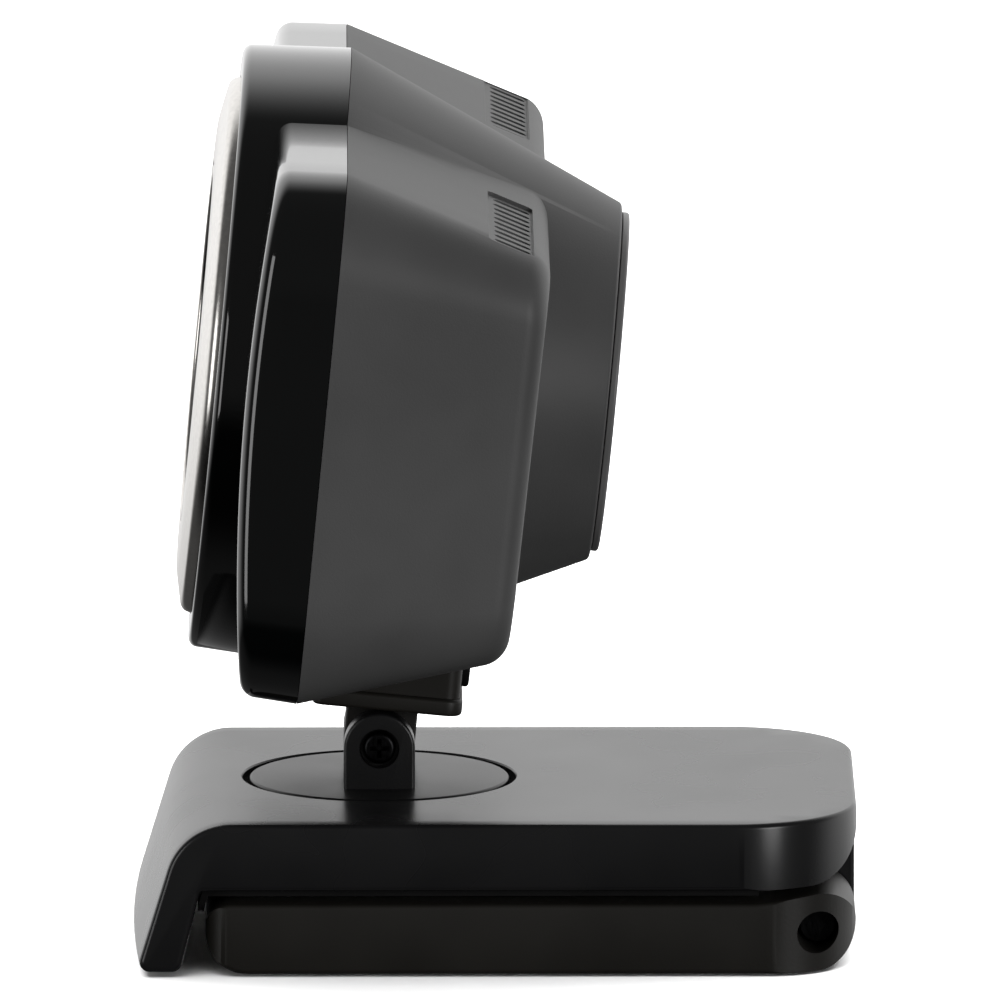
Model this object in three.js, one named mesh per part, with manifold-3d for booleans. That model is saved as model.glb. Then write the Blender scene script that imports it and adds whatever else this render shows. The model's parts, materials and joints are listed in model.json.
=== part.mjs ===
// A wide webcam on a fold-out clip stand, in millimetres.
// +Z is up and the lens looks along -Y. The origin is on the surface that the stand rests on,
// under the middle of the whole object.
//
// Three frames are used. The stand is drawn in the world frame. The head is drawn in its own frame,
// whose origin is the middle of the seam between its two shells and whose Y axis is the optical
// axis, positive towards the back. A group then leans the head back about the tilt screw.

import * as THREE from "three";
import { mergeVertices } from "three/addons/utils/BufferGeometryUtils.js";
import Module from "manifold-3d";

const wasm = await Module();
wasm.setup();

// ---------------------------------------------------------------- driving dimensions

const fit = 0.3; // gap between pieces that touch on the real object
const seamGap = 0.24; // fine line between the two head shells

// stand: cover plate with its hook, seen from the side
const standWidth = 49.7;
const standRearY = 34.4;
const coverTopZ = 14.7;
const coverThickness = 6.4;
const coverWall = 2.2;
const coverRoof = 2.5;
const coverRearRound = 4.5; // lower rear edge, in side view
const coverTopRound = 0.6;
const cornerRadius = 12; // rear corners, seen from above
const frontCornerRadius = 2;
const hookBendY = -25.07; // where the flat top starts to bend down
const hookBendRadius = 6.2;
const hookLean = THREE.MathUtils.degToRad(17);
const hookInnerY = -27.9; // inner corner between hook and plate
const hookInnerLean = THREE.MathUtils.degToRad(13.8);
const hookBottomZ = 0.5;
const hookEndRound = 1.2;
const hookBow = 0.7; // how far the hook's middle stands forward of its sides
const hookPadTopZ = 5.2;
const hookPadInset = 2; // from each side of the stand to the end of the pad
const hookSkin = 1.1; // cover left outside the rubber

// fold-out leg and its hinge
const legInset = 0.25; // leg inside the cover's width, each side
const legHalfWidth = standWidth / 2 - legInset;
const legTopZ = 7;
const legBottomZ = 0.25;
const legNoseY = -27.4;
const legNoseTopRound = 2.4;
const legNoseBottomRound = 3.9;
const legWall = 2.2;
const legRoof = 2;
const legRearCorner = 9;
const hingeY = 30.6;
const hingeZ = 3.95;
const hingeBarrelRadius = 3.7;
const hingeBoreRadius = 2;
const hingePinRadius = 1.6;
const hingePinHalfLength = 19;
const knuckleHalfWidth = 7.6;
const hingeWasherThickness = 0.6;

// turntable and its yoke
const swivelY = -10.9;
const discRadius = 12.4;
const discThickness = 1.5;
const discGroove = 0.65; // dark ring round the disc
const stemRadius = 3.6;
const pivotAboveCover = 3.9;
const lugRadius = 3.4;
const lugHalfThickness = 2.8;
const yokeEarThickness = 3;
const frictionWasherThickness = 0.5;

// tilt screw
const tiltScrewRadius = 1;
const tiltHeadRadius = 1.55;
const tiltHeadThickness = 1.1;

// head: drum on the optical axis, seen from the side
const headLean = THREE.MathUtils.degToRad(5.5);
const pivotBehindSeam = 8.9;
const pivotBelowAxis = 36.2;
const drumSeamRadius = 29.35;
const drumFrontRadius = 28.75;
const drumFrontLength = 10.2;
const drumFrontRound = 1;
const drumRearRadius = 17;
const drumRearLength = 27.05;
const shellWall = 2;

// head: wings, as a rounded block across the drum
const wingHalfWidth = 50.8;
const wingHalfHeight = 25.35;
const wingDrop = 0.45; // wings' middle below the axis
const wingCorner = 9;
const wingFrontLength = 5.9; // at the middle of the wings' height, less the bow
const wingFrontBow = 1.6;
const wingFrontLean = 0.024; // front face, per mm of height
const wingRearLength = 19.55;
const wingRearRound = 2;
const wingFrontDraft = Math.tan(THREE.MathUtils.degToRad(3.1));
const wingRearSlope = Math.tan(THREE.MathUtils.degToRad(17.5));
const wingSideTaper = 0.13;

// sound slots in the wings' roof
const slotCount = 10;
const slotPitch = 2.4;
const slotWidth = 1;
const slotFrontU = 14.4;
const slotLength = 3.15;
const slotPastFlat = 0.6; // how far the outermost slot reaches into the wings' rounded corner
const slotOuterX = wingHalfWidth - wingCorner + slotPastFlat;

// front trim and optics, on the optical axis
const ringRadius = 25.6;
const ringInnerRadius = 16;
const ringFrontU = -12;
const ringRecessU = -8.9;
const openingRadius = 14;
const focusRingRadius = 9.5;
const focusRingFrontU = -12.5;
const focusRingLength = 5.4;
const focusLobes = 24;
const barrelRadius = 6.9;
const barrelFrontU = -11.8;
const barrelLength = 11;
const barrelWall = 1.2;
const holderWall = 1.4;
const boardFrontU = 2.7;
const boardThickness = 1.6;
const boardRadius = 21;

// fasteners
const screwRadius = 0.85;
const screwHeadRadius = 2;
const screwHeadThickness = 1.1;

// ---------------------------------------------------------------- colours

const paint = (color, roughness, metalness = 0) =>
  new THREE.MeshStandardMaterial({ color, roughness, metalness });

const finishes = {
  satinGrey: () => paint(0x4a4a4b, 0.55),
  glossBlack: () => paint(0x0e1110, 0.08),
  satinBlack: () => paint(0x222222, 0.45),
  coverPaint: () => paint(0x2a2a2b, 0.35),
  silver: () => paint(0xdcd9d6, 0.25, 0.6),
  lightGrey: () => paint(0xb9b8b8, 0.4),
  rubber: () => paint(0x161616, 0.85),
  steel: () => paint(0x8d8f92, 0.35, 1),
  blackSteel: () => paint(0x1b1b1c, 0.4, 0.8),
  glass: () => paint(0x1a2230, 0.03),
  board: () => paint(0x1f5a3a, 0.6),
  chip: () => paint(0x151515, 0.5),
  clearPlastic: () => paint(0xd8e6ff, 0.2),
  nylon: () => paint(0xe3e1da, 0.5),
};

// ---------------------------------------------------------------- geometry helpers

const webcam = new THREE.Group();
const head = new THREE.Group();
webcam.add(head);

// Gives one merged, outward-facing closed surface from any closed three.js geometry.
function closed(geometry) {
  const bare = geometry.clone();
  for (const name of Object.keys(bare.attributes)) {
    if (name !== "position") {
      bare.deleteAttribute(name);
    }
  }
  const merged = mergeVertices(bare, 1e-4);
  const position = merged.attributes.position;
  const kept = [];
  const corner = [new THREE.Vector3(), new THREE.Vector3(), new THREE.Vector3()];
  let volume = 0;
  for (let i = 0; i < merged.index.count; i += 3) {
    const ids = [0, 1, 2].map((k) => merged.index.getX(i + k));
    if (ids[0] === ids[1] || ids[1] === ids[2] || ids[2] === ids[0]) {
      continue;
    }
    ids.forEach((id, k) => corner[k].fromBufferAttribute(position, id));
    volume += corner[0].dot(corner[1].clone().cross(corner[2]));
    kept.push(ids);
  }
  const outward = volume > 0 ? kept : kept.map(([a, b, c]) => [a, c, b]);
  const result = new THREE.BufferGeometry();
  result.setAttribute("position", position);
  result.setIndex(outward.flat());
  return result;
}

function solid(geometry) {
  const surface = closed(geometry);
  const mesh = new wasm.Mesh({
    numProp: 3,
    vertProperties: Float32Array.from(surface.attributes.position.array),
    triVerts: Uint32Array.from(surface.index.array),
  });
  return new wasm.Manifold(mesh);
}

function geometryOf(body) {
  const mesh = body.getMesh();
  const geometry = new THREE.BufferGeometry();
  geometry.setAttribute("position", new THREE.BufferAttribute(mesh.vertProperties, 3));
  geometry.setIndex(new THREE.BufferAttribute(mesh.triVerts, 1));
  return geometry;
}

const join = (first, ...rest) => rest.reduce((sum, body) => sum.add(body), first);
const cut = (first, ...rest) => rest.reduce((left, body) => left.subtract(body), first);
const farAway = 30; // length of a cutter that has to pass right through

function place(parent, name, shape, material) {
  const geometry = shape.isBufferGeometry ? closed(shape) : geometryOf(shape);
  geometry.computeVertexNormals();
  const mesh = new THREE.Mesh(geometry, material);
  mesh.name = name;
  parent.add(mesh);
  return mesh;
}

// Turned shape about the Y axis: points are [radius, y], the outline closes on itself or the axis.
function turned(points, segments = 48) {
  const outline = points.map(([radius, y]) => new THREE.Vector2(radius, y));
  return new THREE.LatheGeometry(outline, segments);
}

const turnedAboutZ = (points, segments) => turned(points, segments).rotateX(Math.PI / 2);
const turnedAboutX = (points, segments) => turned(points, segments).rotateZ(-Math.PI / 2);

const rodPoints = (radius, start, end) => [
  [0, start],
  [radius, start],
  [radius, end],
  [0, end],
];

const tubePoints = (inner, outer, start, end) => [
  [inner, start],
  [outer, start],
  [outer, end],
  [inner, end],
  [inner, start],
];

function rodAlongY(radius, start, end, x = 0, z = 0, segments = 24) {
  return turned(rodPoints(radius, start, end), segments).translate(x, 0, z);
}

function rodAlongZ(radius, start, end, x = 0, y = 0, segments = 24) {
  return turnedAboutZ(rodPoints(radius, start, end), segments).translate(x, y, 0);
}

function rodAlongX(radius, start, end, y = 0, z = 0, segments = 24) {
  return turnedAboutX(rodPoints(radius, start, end), segments).translate(0, y, z);
}

function block(lowX, highX, lowY, highY, lowZ, highZ) {
  const box = new THREE.BoxGeometry(highX - lowX, highY - lowY, highZ - lowZ);
  return box.translate((lowX + highX) / 2, (lowY + highY) / 2, (lowZ + highZ) / 2);
}

// A side-view outline, drawn as (y, z), made solid from -halfWidth to +halfWidth along X.
function sidePrism(shape, halfWidth, steps = 1, curveSegments = 8) {
  const geometry = new THREE.ExtrudeGeometry(shape, {
    depth: 2 * halfWidth,
    steps,
    curveSegments,
    bevelEnabled: false,
  });
  geometry.translate(0, 0, -halfWidth);
  const turn = new THREE.Matrix4().makeBasis(
    new THREE.Vector3(0, 1, 0),
    new THREE.Vector3(0, 0, 1),
    new THREE.Vector3(1, 0, 0),
  );
  return geometry.applyMatrix4(turn);
}

// A top-view outline, drawn as (x, y), made solid between two heights.
function planPrism(shape, lowZ, highZ, curveSegments = 12) {
  const geometry = new THREE.ExtrudeGeometry(shape, {
    depth: highZ - lowZ,
    curveSegments,
    bevelEnabled: false,
  });
  return geometry.translate(0, 0, lowZ);
}

// Rectangle seen from above, with its own radius at the front and rear corners.
function planOutline(halfWidth, frontY, rearY, frontRadius, rearRadius) {
  const shape = new THREE.Shape();
  shape.moveTo(-halfWidth + frontRadius, frontY);
  shape.lineTo(halfWidth - frontRadius, frontY);
  shape.absarc(halfWidth - frontRadius, frontY + frontRadius, frontRadius, -Math.PI / 2, 0);
  shape.lineTo(halfWidth, rearY - rearRadius);
  shape.absarc(halfWidth - rearRadius, rearY - rearRadius, rearRadius, 0, Math.PI / 2);
  shape.lineTo(-halfWidth + rearRadius, rearY);
  shape.absarc(-halfWidth + rearRadius, rearY - rearRadius, rearRadius, Math.PI / 2, Math.PI);
  shape.lineTo(-halfWidth, frontY + frontRadius);
  shape.absarc(-halfWidth + frontRadius, frontY + frontRadius, frontRadius, Math.PI, 1.5 * Math.PI);
  return shape;
}

// A plain screw on the Y axis: its head spans headThickness behind the origin, its shank goes to -length.
function screwBody(length, headRadius = screwHeadRadius, radius = screwRadius) {
  return solid(
    turned(
      [
        [0, -length],
        [radius * 0.6, -length],
        [radius, -length + radius],
        [radius, 0],
        [headRadius, 0],
        [headRadius, screwHeadThickness * 0.6],
        [headRadius * 0.75, screwHeadThickness],
        [0, screwHeadThickness],
      ],
      16,
    ),
  );
}

// Cross recess in a screw head, cut to the given depth below the head's top.
function crossRecess(top, depth, reach, width = 0.55) {
  const bar = block(-reach, reach, top - depth, top + 1, -width / 2, width / 2);
  return join(solid(bar), solid(bar.clone().rotateY(Math.PI / 2)));
}

const crossHeadScrew = (length) =>
  cut(screwBody(length), crossRecess(screwHeadThickness, 0.6, screwHeadRadius * 0.6));

// ---------------------------------------------------------------- stand: cover plate with hook

const standHalfWidth = standWidth / 2;
const hookPadHalfWidth = standHalfWidth - hookPadInset;
const coverBottomZ = coverTopZ - coverThickness;
const hookBendEndY = hookBendY - hookBendRadius * Math.cos(hookLean);
const hookBendEndZ = coverTopZ - hookBendRadius * (1 - Math.sin(hookLean));
const hookOuterY = (z) => hookBendEndY - (hookBendEndZ - z) * Math.tan(hookLean);
const hookInnerFaceY = (z) => hookInnerY - (coverBottomZ - z) * Math.tan(hookInnerLean);
const hookFrontY = hookOuterY(hookBottomZ);
const roofInnerZ = coverTopZ - coverRoof;

function coverProfile() {
  const shape = new THREE.Shape();
  const innerBottomY = hookInnerFaceY(hookBottomZ);
  shape.moveTo(hookInnerY, coverBottomZ);
  shape.lineTo(standRearY - coverRearRound, coverBottomZ);
  shape.absarc(
    standRearY - coverRearRound,
    coverBottomZ + coverRearRound,
    coverRearRound,
    -Math.PI / 2,
    0,
  );
  shape.lineTo(standRearY, coverTopZ - coverTopRound);
  shape.absarc(standRearY - coverTopRound, coverTopZ - coverTopRound, coverTopRound, 0, Math.PI / 2);
  shape.lineTo(hookBendY, coverTopZ);
  shape.absarc(hookBendY, coverTopZ - hookBendRadius, hookBendRadius, Math.PI / 2, Math.PI - hookLean);
  shape.lineTo(hookOuterY(hookBottomZ + hookEndRound), hookBottomZ + hookEndRound);
  shape.quadraticCurveTo(hookFrontY, hookBottomZ, hookFrontY + hookEndRound, hookBottomZ);
  shape.lineTo(innerBottomY - hookEndRound, hookBottomZ);
  shape.quadraticCurveTo(
    innerBottomY,
    hookBottomZ,
    hookInnerFaceY(hookBottomZ + hookEndRound),
    hookBottomZ + hookEndRound,
  );
  shape.lineTo(hookInnerY, coverBottomZ);
  return shape;
}

// The pad fills the inner side of the hook's end. Grown by the fit, the same outline is its pocket.
function hookPadProfile(grow) {
  const shape = new THREE.Shape();
  const topZ = hookPadTopZ + grow;
  const endRound = grow > 0 ? 0 : hookEndRound;
  const bottomZ = grow > 0 ? hookBottomZ - 2 : hookBottomZ;
  const innerShift = grow > 0 ? 2 : 0;
  const skinY = (z) => hookOuterY(z) + hookSkin + fit - grow;
  shape.moveTo(skinY(topZ), topZ);
  shape.lineTo(skinY(bottomZ), bottomZ);
  shape.lineTo(hookInnerFaceY(bottomZ) + innerShift - endRound, bottomZ);
  if (endRound > 0) {
    const cornerY = hookInnerFaceY(bottomZ);
    shape.quadraticCurveTo(cornerY, bottomZ, hookInnerFaceY(bottomZ + endRound), bottomZ + endRound);
  }
  shape.lineTo(hookInnerFaceY(topZ) + innerShift, topZ);
  shape.lineTo(skinY(topZ), topZ);
  return shape;
}

// Bows the hook forward in its middle, more the further it is from the start of the bend.
function bowed(geometry) {
  const position = geometry.attributes.position;
  for (let i = 0; i < position.count; i += 1) {
    const share = (hookBendY - position.getY(i)) / (hookBendY - hookFrontY);
    const across = position.getX(i) / standHalfWidth;
    const shift = hookBow * THREE.MathUtils.clamp(share, 0, 1) * (1 - across * across);
    position.setY(i, position.getY(i) - shift);
  }
  return geometry;
}

const hookSteps = 8;

const underCoverHalfWidth = standHalfWidth - coverWall - fit;
const cavityFrontY = -23;
const cavityRearY = 20;
const underCoverThickness = 1.2;
const underCoverTopZ = coverBottomZ + underCoverThickness;
const swivelBossRadius = discRadius + discGroove + 2;
const swivelFloorZ = coverTopZ - discThickness - fit;
const swivelBossBottomZ = swivelFloorZ - 1.7;
const coverScrewX = standHalfWidth - 6.85;
const coverScrewFrontY = -19;
const coverScrewRearY = 15.5;
const coverScrewBossRadius = 2.4;
const swivelAccessRadius = 7;
const coverScrewSpots = [
  [-coverScrewX, coverScrewFrontY],
  [coverScrewX, coverScrewFrontY],
  [-coverScrewX, coverScrewRearY],
  [coverScrewX, coverScrewRearY],
];

function coverCavity() {
  const hollow = solid(
    block(
      -standHalfWidth + coverWall,
      standHalfWidth - coverWall,
      cavityFrontY,
      cavityRearY,
      coverBottomZ - 1,
      roofInnerZ,
    ),
  );
  const swivelBoss = solid(
    rodAlongZ(swivelBossRadius, swivelBossBottomZ, coverTopZ, 0, swivelY, 48),
  );
  const screwBosses = coverScrewSpots.map(([x, y]) =>
    solid(rodAlongZ(coverScrewBossRadius, underCoverTopZ + fit, coverTopZ, x, y, 16)),
  );
  return cut(hollow, swivelBoss, ...screwBosses);
}

function hingeKnuckle() {
  const shape = new THREE.Shape();
  const radius = hingeBarrelRadius;
  shape.moveTo(hingeY - radius, hingeZ);
  shape.absarc(hingeY, hingeZ, radius, Math.PI, 2 * Math.PI);
  shape.lineTo(hingeY + radius, coverBottomZ + coverRearRound);
  shape.lineTo(hingeY - radius, coverBottomZ + coverRearRound);
  return solid(sidePrism(shape, knuckleHalfWidth));
}

function makeCover() {
  const slab = solid(bowed(sidePrism(coverProfile(), standHalfWidth, hookSteps)));
  const padPocket = solid(bowed(sidePrism(hookPadProfile(fit), hookPadHalfWidth + fit, hookSteps)));
  const plan = planPrism(
    planOutline(standHalfWidth, hookFrontY - hookBow - 1, standRearY, frontCornerRadius, cornerRadius),
    -5,
    coverTopZ + 5,
    10,
  );
  const discSeat = rodAlongZ(discRadius + discGroove, swivelFloorZ, coverTopZ + 1, 0, swivelY, 64);
  const stemHole = rodAlongZ(stemRadius + fit, 0, coverTopZ, 0, swivelY, 32);
  const pinBore = rodAlongX(hingePinRadius + fit, -farAway, farAway, hingeY, hingeZ);
  const screwBores = coverScrewSpots.map(([x, y]) =>
    solid(rodAlongZ(screwRadius + fit, coverBottomZ - 1, roofInnerZ + 0.6, x, y, 12)),
  );
  const body = join(slab.intersect(solid(plan)), hingeKnuckle());
  return cut(
    body,
    coverCavity(),
    solid(discSeat),
    solid(stemHole),
    solid(pinBore),
    padPocket,
    ...screwBores,
  );
}

function makeHookPad() {
  return solid(bowed(sidePrism(hookPadProfile(0), hookPadHalfWidth, hookSteps)));
}

function makeUnderCover() {
  const plate = solid(
    block(
      -underCoverHalfWidth,
      underCoverHalfWidth,
      cavityFrontY + fit,
      cavityRearY - fit,
      coverBottomZ,
      underCoverTopZ,
    ),
  );
  const swivelAccess = solid(rodAlongZ(swivelAccessRadius, 0, coverTopZ, 0, swivelY, 32));
  const holes = coverScrewSpots.map(([x, y]) =>
    solid(rodAlongZ(screwRadius + fit, 0, coverTopZ, x, y, 12)),
  );
  return cut(plate, swivelAccess, ...holes);
}

// Rubber sheet under the plate, with a bead that turns down inside the hook.
const underPadTopZ = coverBottomZ - fit;
const underPadThickness = 0.6;
const underPadRearY = 25;
const beadBottomZ = 6;
const beadThickness = 0.6;

function makeUnderPad() {
  const shape = new THREE.Shape();
  const sheetBottomZ = underPadTopZ - underPadThickness;
  const beadFrontY = (z) => hookInnerFaceY(z) + fit;
  shape.moveTo(beadFrontY(underPadTopZ), underPadTopZ);
  shape.lineTo(beadFrontY(beadBottomZ), beadBottomZ);
  shape.lineTo(beadFrontY(beadBottomZ) + beadThickness, beadBottomZ);
  shape.lineTo(beadFrontY(sheetBottomZ) + beadThickness, sheetBottomZ);
  shape.lineTo(underPadRearY, sheetBottomZ);
  shape.lineTo(underPadRearY, underPadTopZ);
  const sheet = solid(sidePrism(shape, standHalfWidth - 2.5));
  const headRoom = coverScrewSpots.map(([x, y]) =>
    solid(rodAlongZ(screwHeadRadius + fit, 0, coverTopZ, x, y, 20)),
  );
  return cut(sheet, ...headRoom);
}

place(webcam, "base_cover", makeCover(), finishes.coverPaint());
place(webcam, "hook_pad", makeHookPad(), finishes.rubber());
place(webcam, "under_cover", makeUnderCover(), finishes.satinBlack());
place(webcam, "under_pad", makeUnderPad(), finishes.rubber());

const coverScrewHeadThickness = 0.5;
coverScrewSpots.forEach(([x, y], i) => {
  const top = roofInnerZ;
  const headTop = coverBottomZ - 0.1;
  const screw = turnedAboutZ(
    [
      [0, -top],
      [screwRadius, -top],
      [screwRadius, -headTop],
      [screwHeadRadius, -headTop],
      [screwHeadRadius, -headTop + coverScrewHeadThickness],
      [0, -headTop + coverScrewHeadThickness],
    ],
    20,
  );
  screw.rotateX(Math.PI).translate(x, y, 0);
  place(webcam, `cover_screw_${i + 1}`, screw, finishes.steel());
});

// ---------------------------------------------------------------- stand: fold-out leg and hinge

const legRearY = hingeY + hingeBarrelRadius;
const legNotchHalfWidth = knuckleHalfWidth + hingeWasherThickness + 2 * fit;
const legNotchFrontY = hingeY - hingeBarrelRadius - 1;
const legPadTopZ = 0.8;
const legCoverTopZ = legPadTopZ + fit + 1.2;
const legHollowHalfWidth = legHalfWidth - legWall;
const legHollowFrontY = legNoseY + 5;
const legHollowRearY = legNotchFrontY - 3;

function legProfile() {
  const shape = new THREE.Shape();
  shape.moveTo(legNoseY + legNoseBottomRound, legBottomZ);
  shape.lineTo(hingeY, hingeZ - hingeBarrelRadius);
  shape.absarc(hingeY, hingeZ, hingeBarrelRadius, -Math.PI / 2, Math.PI / 2);
  shape.lineTo(legNotchFrontY - 1, legTopZ);
  shape.lineTo(legNoseY + legNoseTopRound, legTopZ);
  shape.absarc(
    legNoseY + legNoseTopRound,
    legTopZ - legNoseTopRound,
    legNoseTopRound,
    Math.PI / 2,
    Math.PI,
  );
  shape.lineTo(legNoseY, legBottomZ + legNoseBottomRound);
  shape.absarc(
    legNoseY + legNoseBottomRound,
    legBottomZ + legNoseBottomRound,
    legNoseBottomRound,
    Math.PI,
    1.5 * Math.PI,
  );
  return shape;
}

function makeLeg() {
  const slab = solid(sidePrism(legProfile(), legHalfWidth, 1, 10));
  const plan = planPrism(
    planOutline(legHalfWidth, legNoseY - 1, legRearY, 3, legRearCorner),
    -2,
    legTopZ + 3,
    12,
  );
  const notch = block(
    -legNotchHalfWidth,
    legNotchHalfWidth,
    legNotchFrontY,
    legRearY + 1,
    -2,
    legTopZ + 3,
  );
  const bore = rodAlongX(hingeBoreRadius, -standWidth, standWidth, hingeY, hingeZ);
  const hollow = block(
    -legHollowHalfWidth,
    legHollowHalfWidth,
    legHollowFrontY,
    legHollowRearY,
    -1,
    legTopZ - legRoof,
  );
  return cut(slab.intersect(solid(plan)), solid(notch), solid(bore), solid(hollow));
}

place(webcam, "leg", makeLeg(), finishes.satinBlack());
place(
  webcam,
  "leg_cover",
  block(
    -legHollowHalfWidth + fit,
    legHollowHalfWidth - fit,
    legHollowFrontY + fit,
    legHollowRearY - fit,
    legPadTopZ + fit,
    legCoverTopZ,
  ),
  finishes.satinBlack(),
);
place(
  webcam,
  "leg_pad",
  solid(
    planPrism(
      planOutline(
        legHollowHalfWidth - 2 * fit,
        legHollowFrontY + 2 * fit,
        legHollowRearY - 2 * fit,
        2,
        2,
      ),
      0,
      legPadTopZ,
      6,
    ),
  ),
  finishes.rubber(),
);
place(
  webcam,
  "hinge_pin",
  rodAlongX(hingePinRadius, -hingePinHalfLength, hingePinHalfLength, hingeY, hingeZ, 20),
  finishes.steel(),
);
for (const [side, sign] of [
  ["left", -1],
  ["right", 1],
]) {
  const inner = knuckleHalfWidth + fit;
  const washer = turnedAboutX(
    tubePoints(hingePinRadius + fit, hingeBarrelRadius - 0.3, inner, inner + hingeWasherThickness),
    20,
  );
  washer.translate(sign < 0 ? -2 * inner - hingeWasherThickness : 0, hingeY, hingeZ);
  place(webcam, `hinge_washer_${side}`, washer, finishes.nylon());
}

// ---------------------------------------------------------------- turntable with yoke

const pivotZ = coverTopZ + pivotAboveCover;
const earInnerX = lugHalfThickness + frictionWasherThickness + 2 * fit;
const earOuterX = earInnerX + yokeEarThickness;
const discBottomZ = coverTopZ - discThickness;
const stemBottomZ = swivelBossBottomZ;
const washerTopZ = swivelBossBottomZ - fit;
const washerBottomZ = washerTopZ - 0.9;
const swivelScrewBore = 1.5;
const tiltHeadX = earOuterX - tiltHeadThickness - 0.15;
const nutHalf = 2;
const nutThickness = 1.3;
const nutSeatX = -earOuterX + 1.7;

function lugProfile(centreY, centreZ, radius, farZ) {
  const shape = new THREE.Shape();
  const up = farZ > centreZ;
  shape.moveTo(centreY - radius, farZ);
  shape.lineTo(centreY - radius, centreZ);
  shape.absarc(centreY, centreZ, radius, Math.PI, up ? 2 * Math.PI : 0, !up);
  shape.lineTo(centreY + radius, farZ);
  return shape;
}

const hexPrism = (halfAcross, start, end) =>
  turnedAboutX(rodPoints(halfAcross / Math.cos(Math.PI / 6), start, end), 6);

function makeSwivelDisc() {
  const disc = solid(
    turnedAboutZ(
      [
        [0, stemBottomZ],
        [stemRadius, stemBottomZ],
        [stemRadius, discBottomZ],
        [discRadius, discBottomZ],
        [discRadius, coverTopZ - 0.2],
        [discRadius - 0.2, coverTopZ],
        [0, coverTopZ],
      ],
      48,
    ).translate(0, swivelY, 0),
  );
  const earShape = lugProfile(swivelY, pivotZ, lugRadius, discBottomZ + 0.5);
  const ears = [-1, 1].map((sign) =>
    solid(
      sidePrism(earShape, yokeEarThickness / 2).translate(
        sign * (earInnerX + yokeEarThickness / 2),
        0,
        0,
      ),
    ),
  );
  const bore = rodAlongX(tiltScrewRadius + fit, -farAway, farAway, swivelY, pivotZ, 20);
  const headRecess = rodAlongX(tiltHeadRadius + fit, tiltHeadX - fit, farAway, swivelY, pivotZ, 28);
  const nutRecess = hexPrism(nutHalf + fit, -farAway, nutSeatX).translate(0, swivelY, pivotZ);
  const screwBore = rodAlongZ(swivelScrewBore, 0, coverTopZ - 0.8, 0, swivelY, 16);
  return cut(
    join(disc, ...ears),
    solid(bore),
    solid(headRecess),
    solid(nutRecess),
    solid(screwBore),
  );
}

place(webcam, "swivel_disc", makeSwivelDisc(), finishes.satinBlack());
place(
  webcam,
  "swivel_washer",
  turnedAboutZ(tubePoints(swivelScrewBore, swivelAccessRadius - 1, -washerTopZ, -washerBottomZ), 32)
    .rotateX(Math.PI)
    .translate(0, swivelY, 0),
  finishes.steel(),
);

const swivelScrewLength = coverTopZ - 1.2 - washerBottomZ + fit;
place(
  webcam,
  "swivel_screw",
  geometryOf(crossHeadScrew(swivelScrewLength))
    .rotateX(-Math.PI / 2)
    .translate(0, swivelY, washerBottomZ - fit),
  finishes.steel(),
);

function makeTiltScrew() {
  const tipX = -earOuterX + 0.1;
  const screw = solid(
    turnedAboutX(
      [
        [0, tipX],
        [tiltScrewRadius, tipX],
        [tiltScrewRadius, tiltHeadX],
        [tiltHeadRadius, tiltHeadX],
        [tiltHeadRadius, tiltHeadX + tiltHeadThickness * 0.7],
        [tiltHeadRadius * 0.8, tiltHeadX + tiltHeadThickness],
        [0, tiltHeadX + tiltHeadThickness],
      ],
      24,
    ),
  );
  const recess = geometryOf(crossRecess(0, 0.7, tiltHeadRadius * 0.62, 0.42))
    .rotateZ(-Math.PI / 2)
    .translate(tiltHeadX + tiltHeadThickness, 0, 0);
  return geometryOf(cut(screw, solid(recess))).translate(0, swivelY, pivotZ);
}

place(webcam, "tilt_screw", makeTiltScrew(), finishes.blackSteel());
place(
  webcam,
  "tilt_nut",
  geometryOf(
    cut(
      solid(hexPrism(nutHalf, nutSeatX - fit - nutThickness, nutSeatX - fit)),
      solid(rodAlongX(tiltScrewRadius + fit, -farAway, farAway, 0, 0, 20)),
    ),
  ).translate(0, swivelY, pivotZ),
  finishes.steel(),
);
for (const [side, sign] of [
  ["left", -1],
  ["right", 1],
]) {
  const inner = lugHalfThickness + fit;
  const washer = turnedAboutX(
    tubePoints(tiltScrewRadius + fit, lugRadius - 0.4, inner, inner + frictionWasherThickness),
    20,
  );
  washer.translate(sign < 0 ? -2 * inner - frictionWasherThickness : 0, swivelY, pivotZ);
  place(webcam, `friction_washer_${side}`, washer, finishes.steel());
}

// ---------------------------------------------------------------- head: placing

// In the head's frame the tilt screw is at (0, pivotBehindSeam, -pivotBelowAxis).
const pivotInHead = new THREE.Vector3(0, pivotBehindSeam, -pivotBelowAxis);
head.rotation.x = -headLean;
const leaned = pivotInHead.clone().applyEuler(head.rotation);
head.position.set(0, swivelY, pivotZ).sub(leaned);

// ---------------------------------------------------------------- head: shells

const coneSlope = (drumSeamRadius - drumRearRadius) / drumRearLength;
const coneRadius = (u) => drumSeamRadius - coneSlope * u;
const coneWall = shellWall * Math.hypot(1, coneSlope);
const overlap = 4; // how far a solid runs past the seam before it is trimmed there

function roundedRectangle(halfWidth, halfHeight, radius) {
  const shape = new THREE.Shape();
  shape.moveTo(-halfWidth + radius, -halfHeight);
  shape.lineTo(halfWidth - radius, -halfHeight);
  shape.absarc(halfWidth - radius, -halfHeight + radius, radius, -Math.PI / 2, 0);
  shape.lineTo(halfWidth, halfHeight - radius);
  shape.absarc(halfWidth - radius, halfHeight - radius, radius, 0, Math.PI / 2);
  shape.lineTo(-halfWidth + radius, halfHeight);
  shape.absarc(-halfWidth + radius, halfHeight - radius, radius, Math.PI / 2, Math.PI);
  shape.lineTo(-halfWidth, -halfHeight + radius);
  shape.absarc(-halfWidth + radius, -halfHeight + radius, radius, Math.PI, 1.5 * Math.PI);
  return shape;
}

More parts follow.
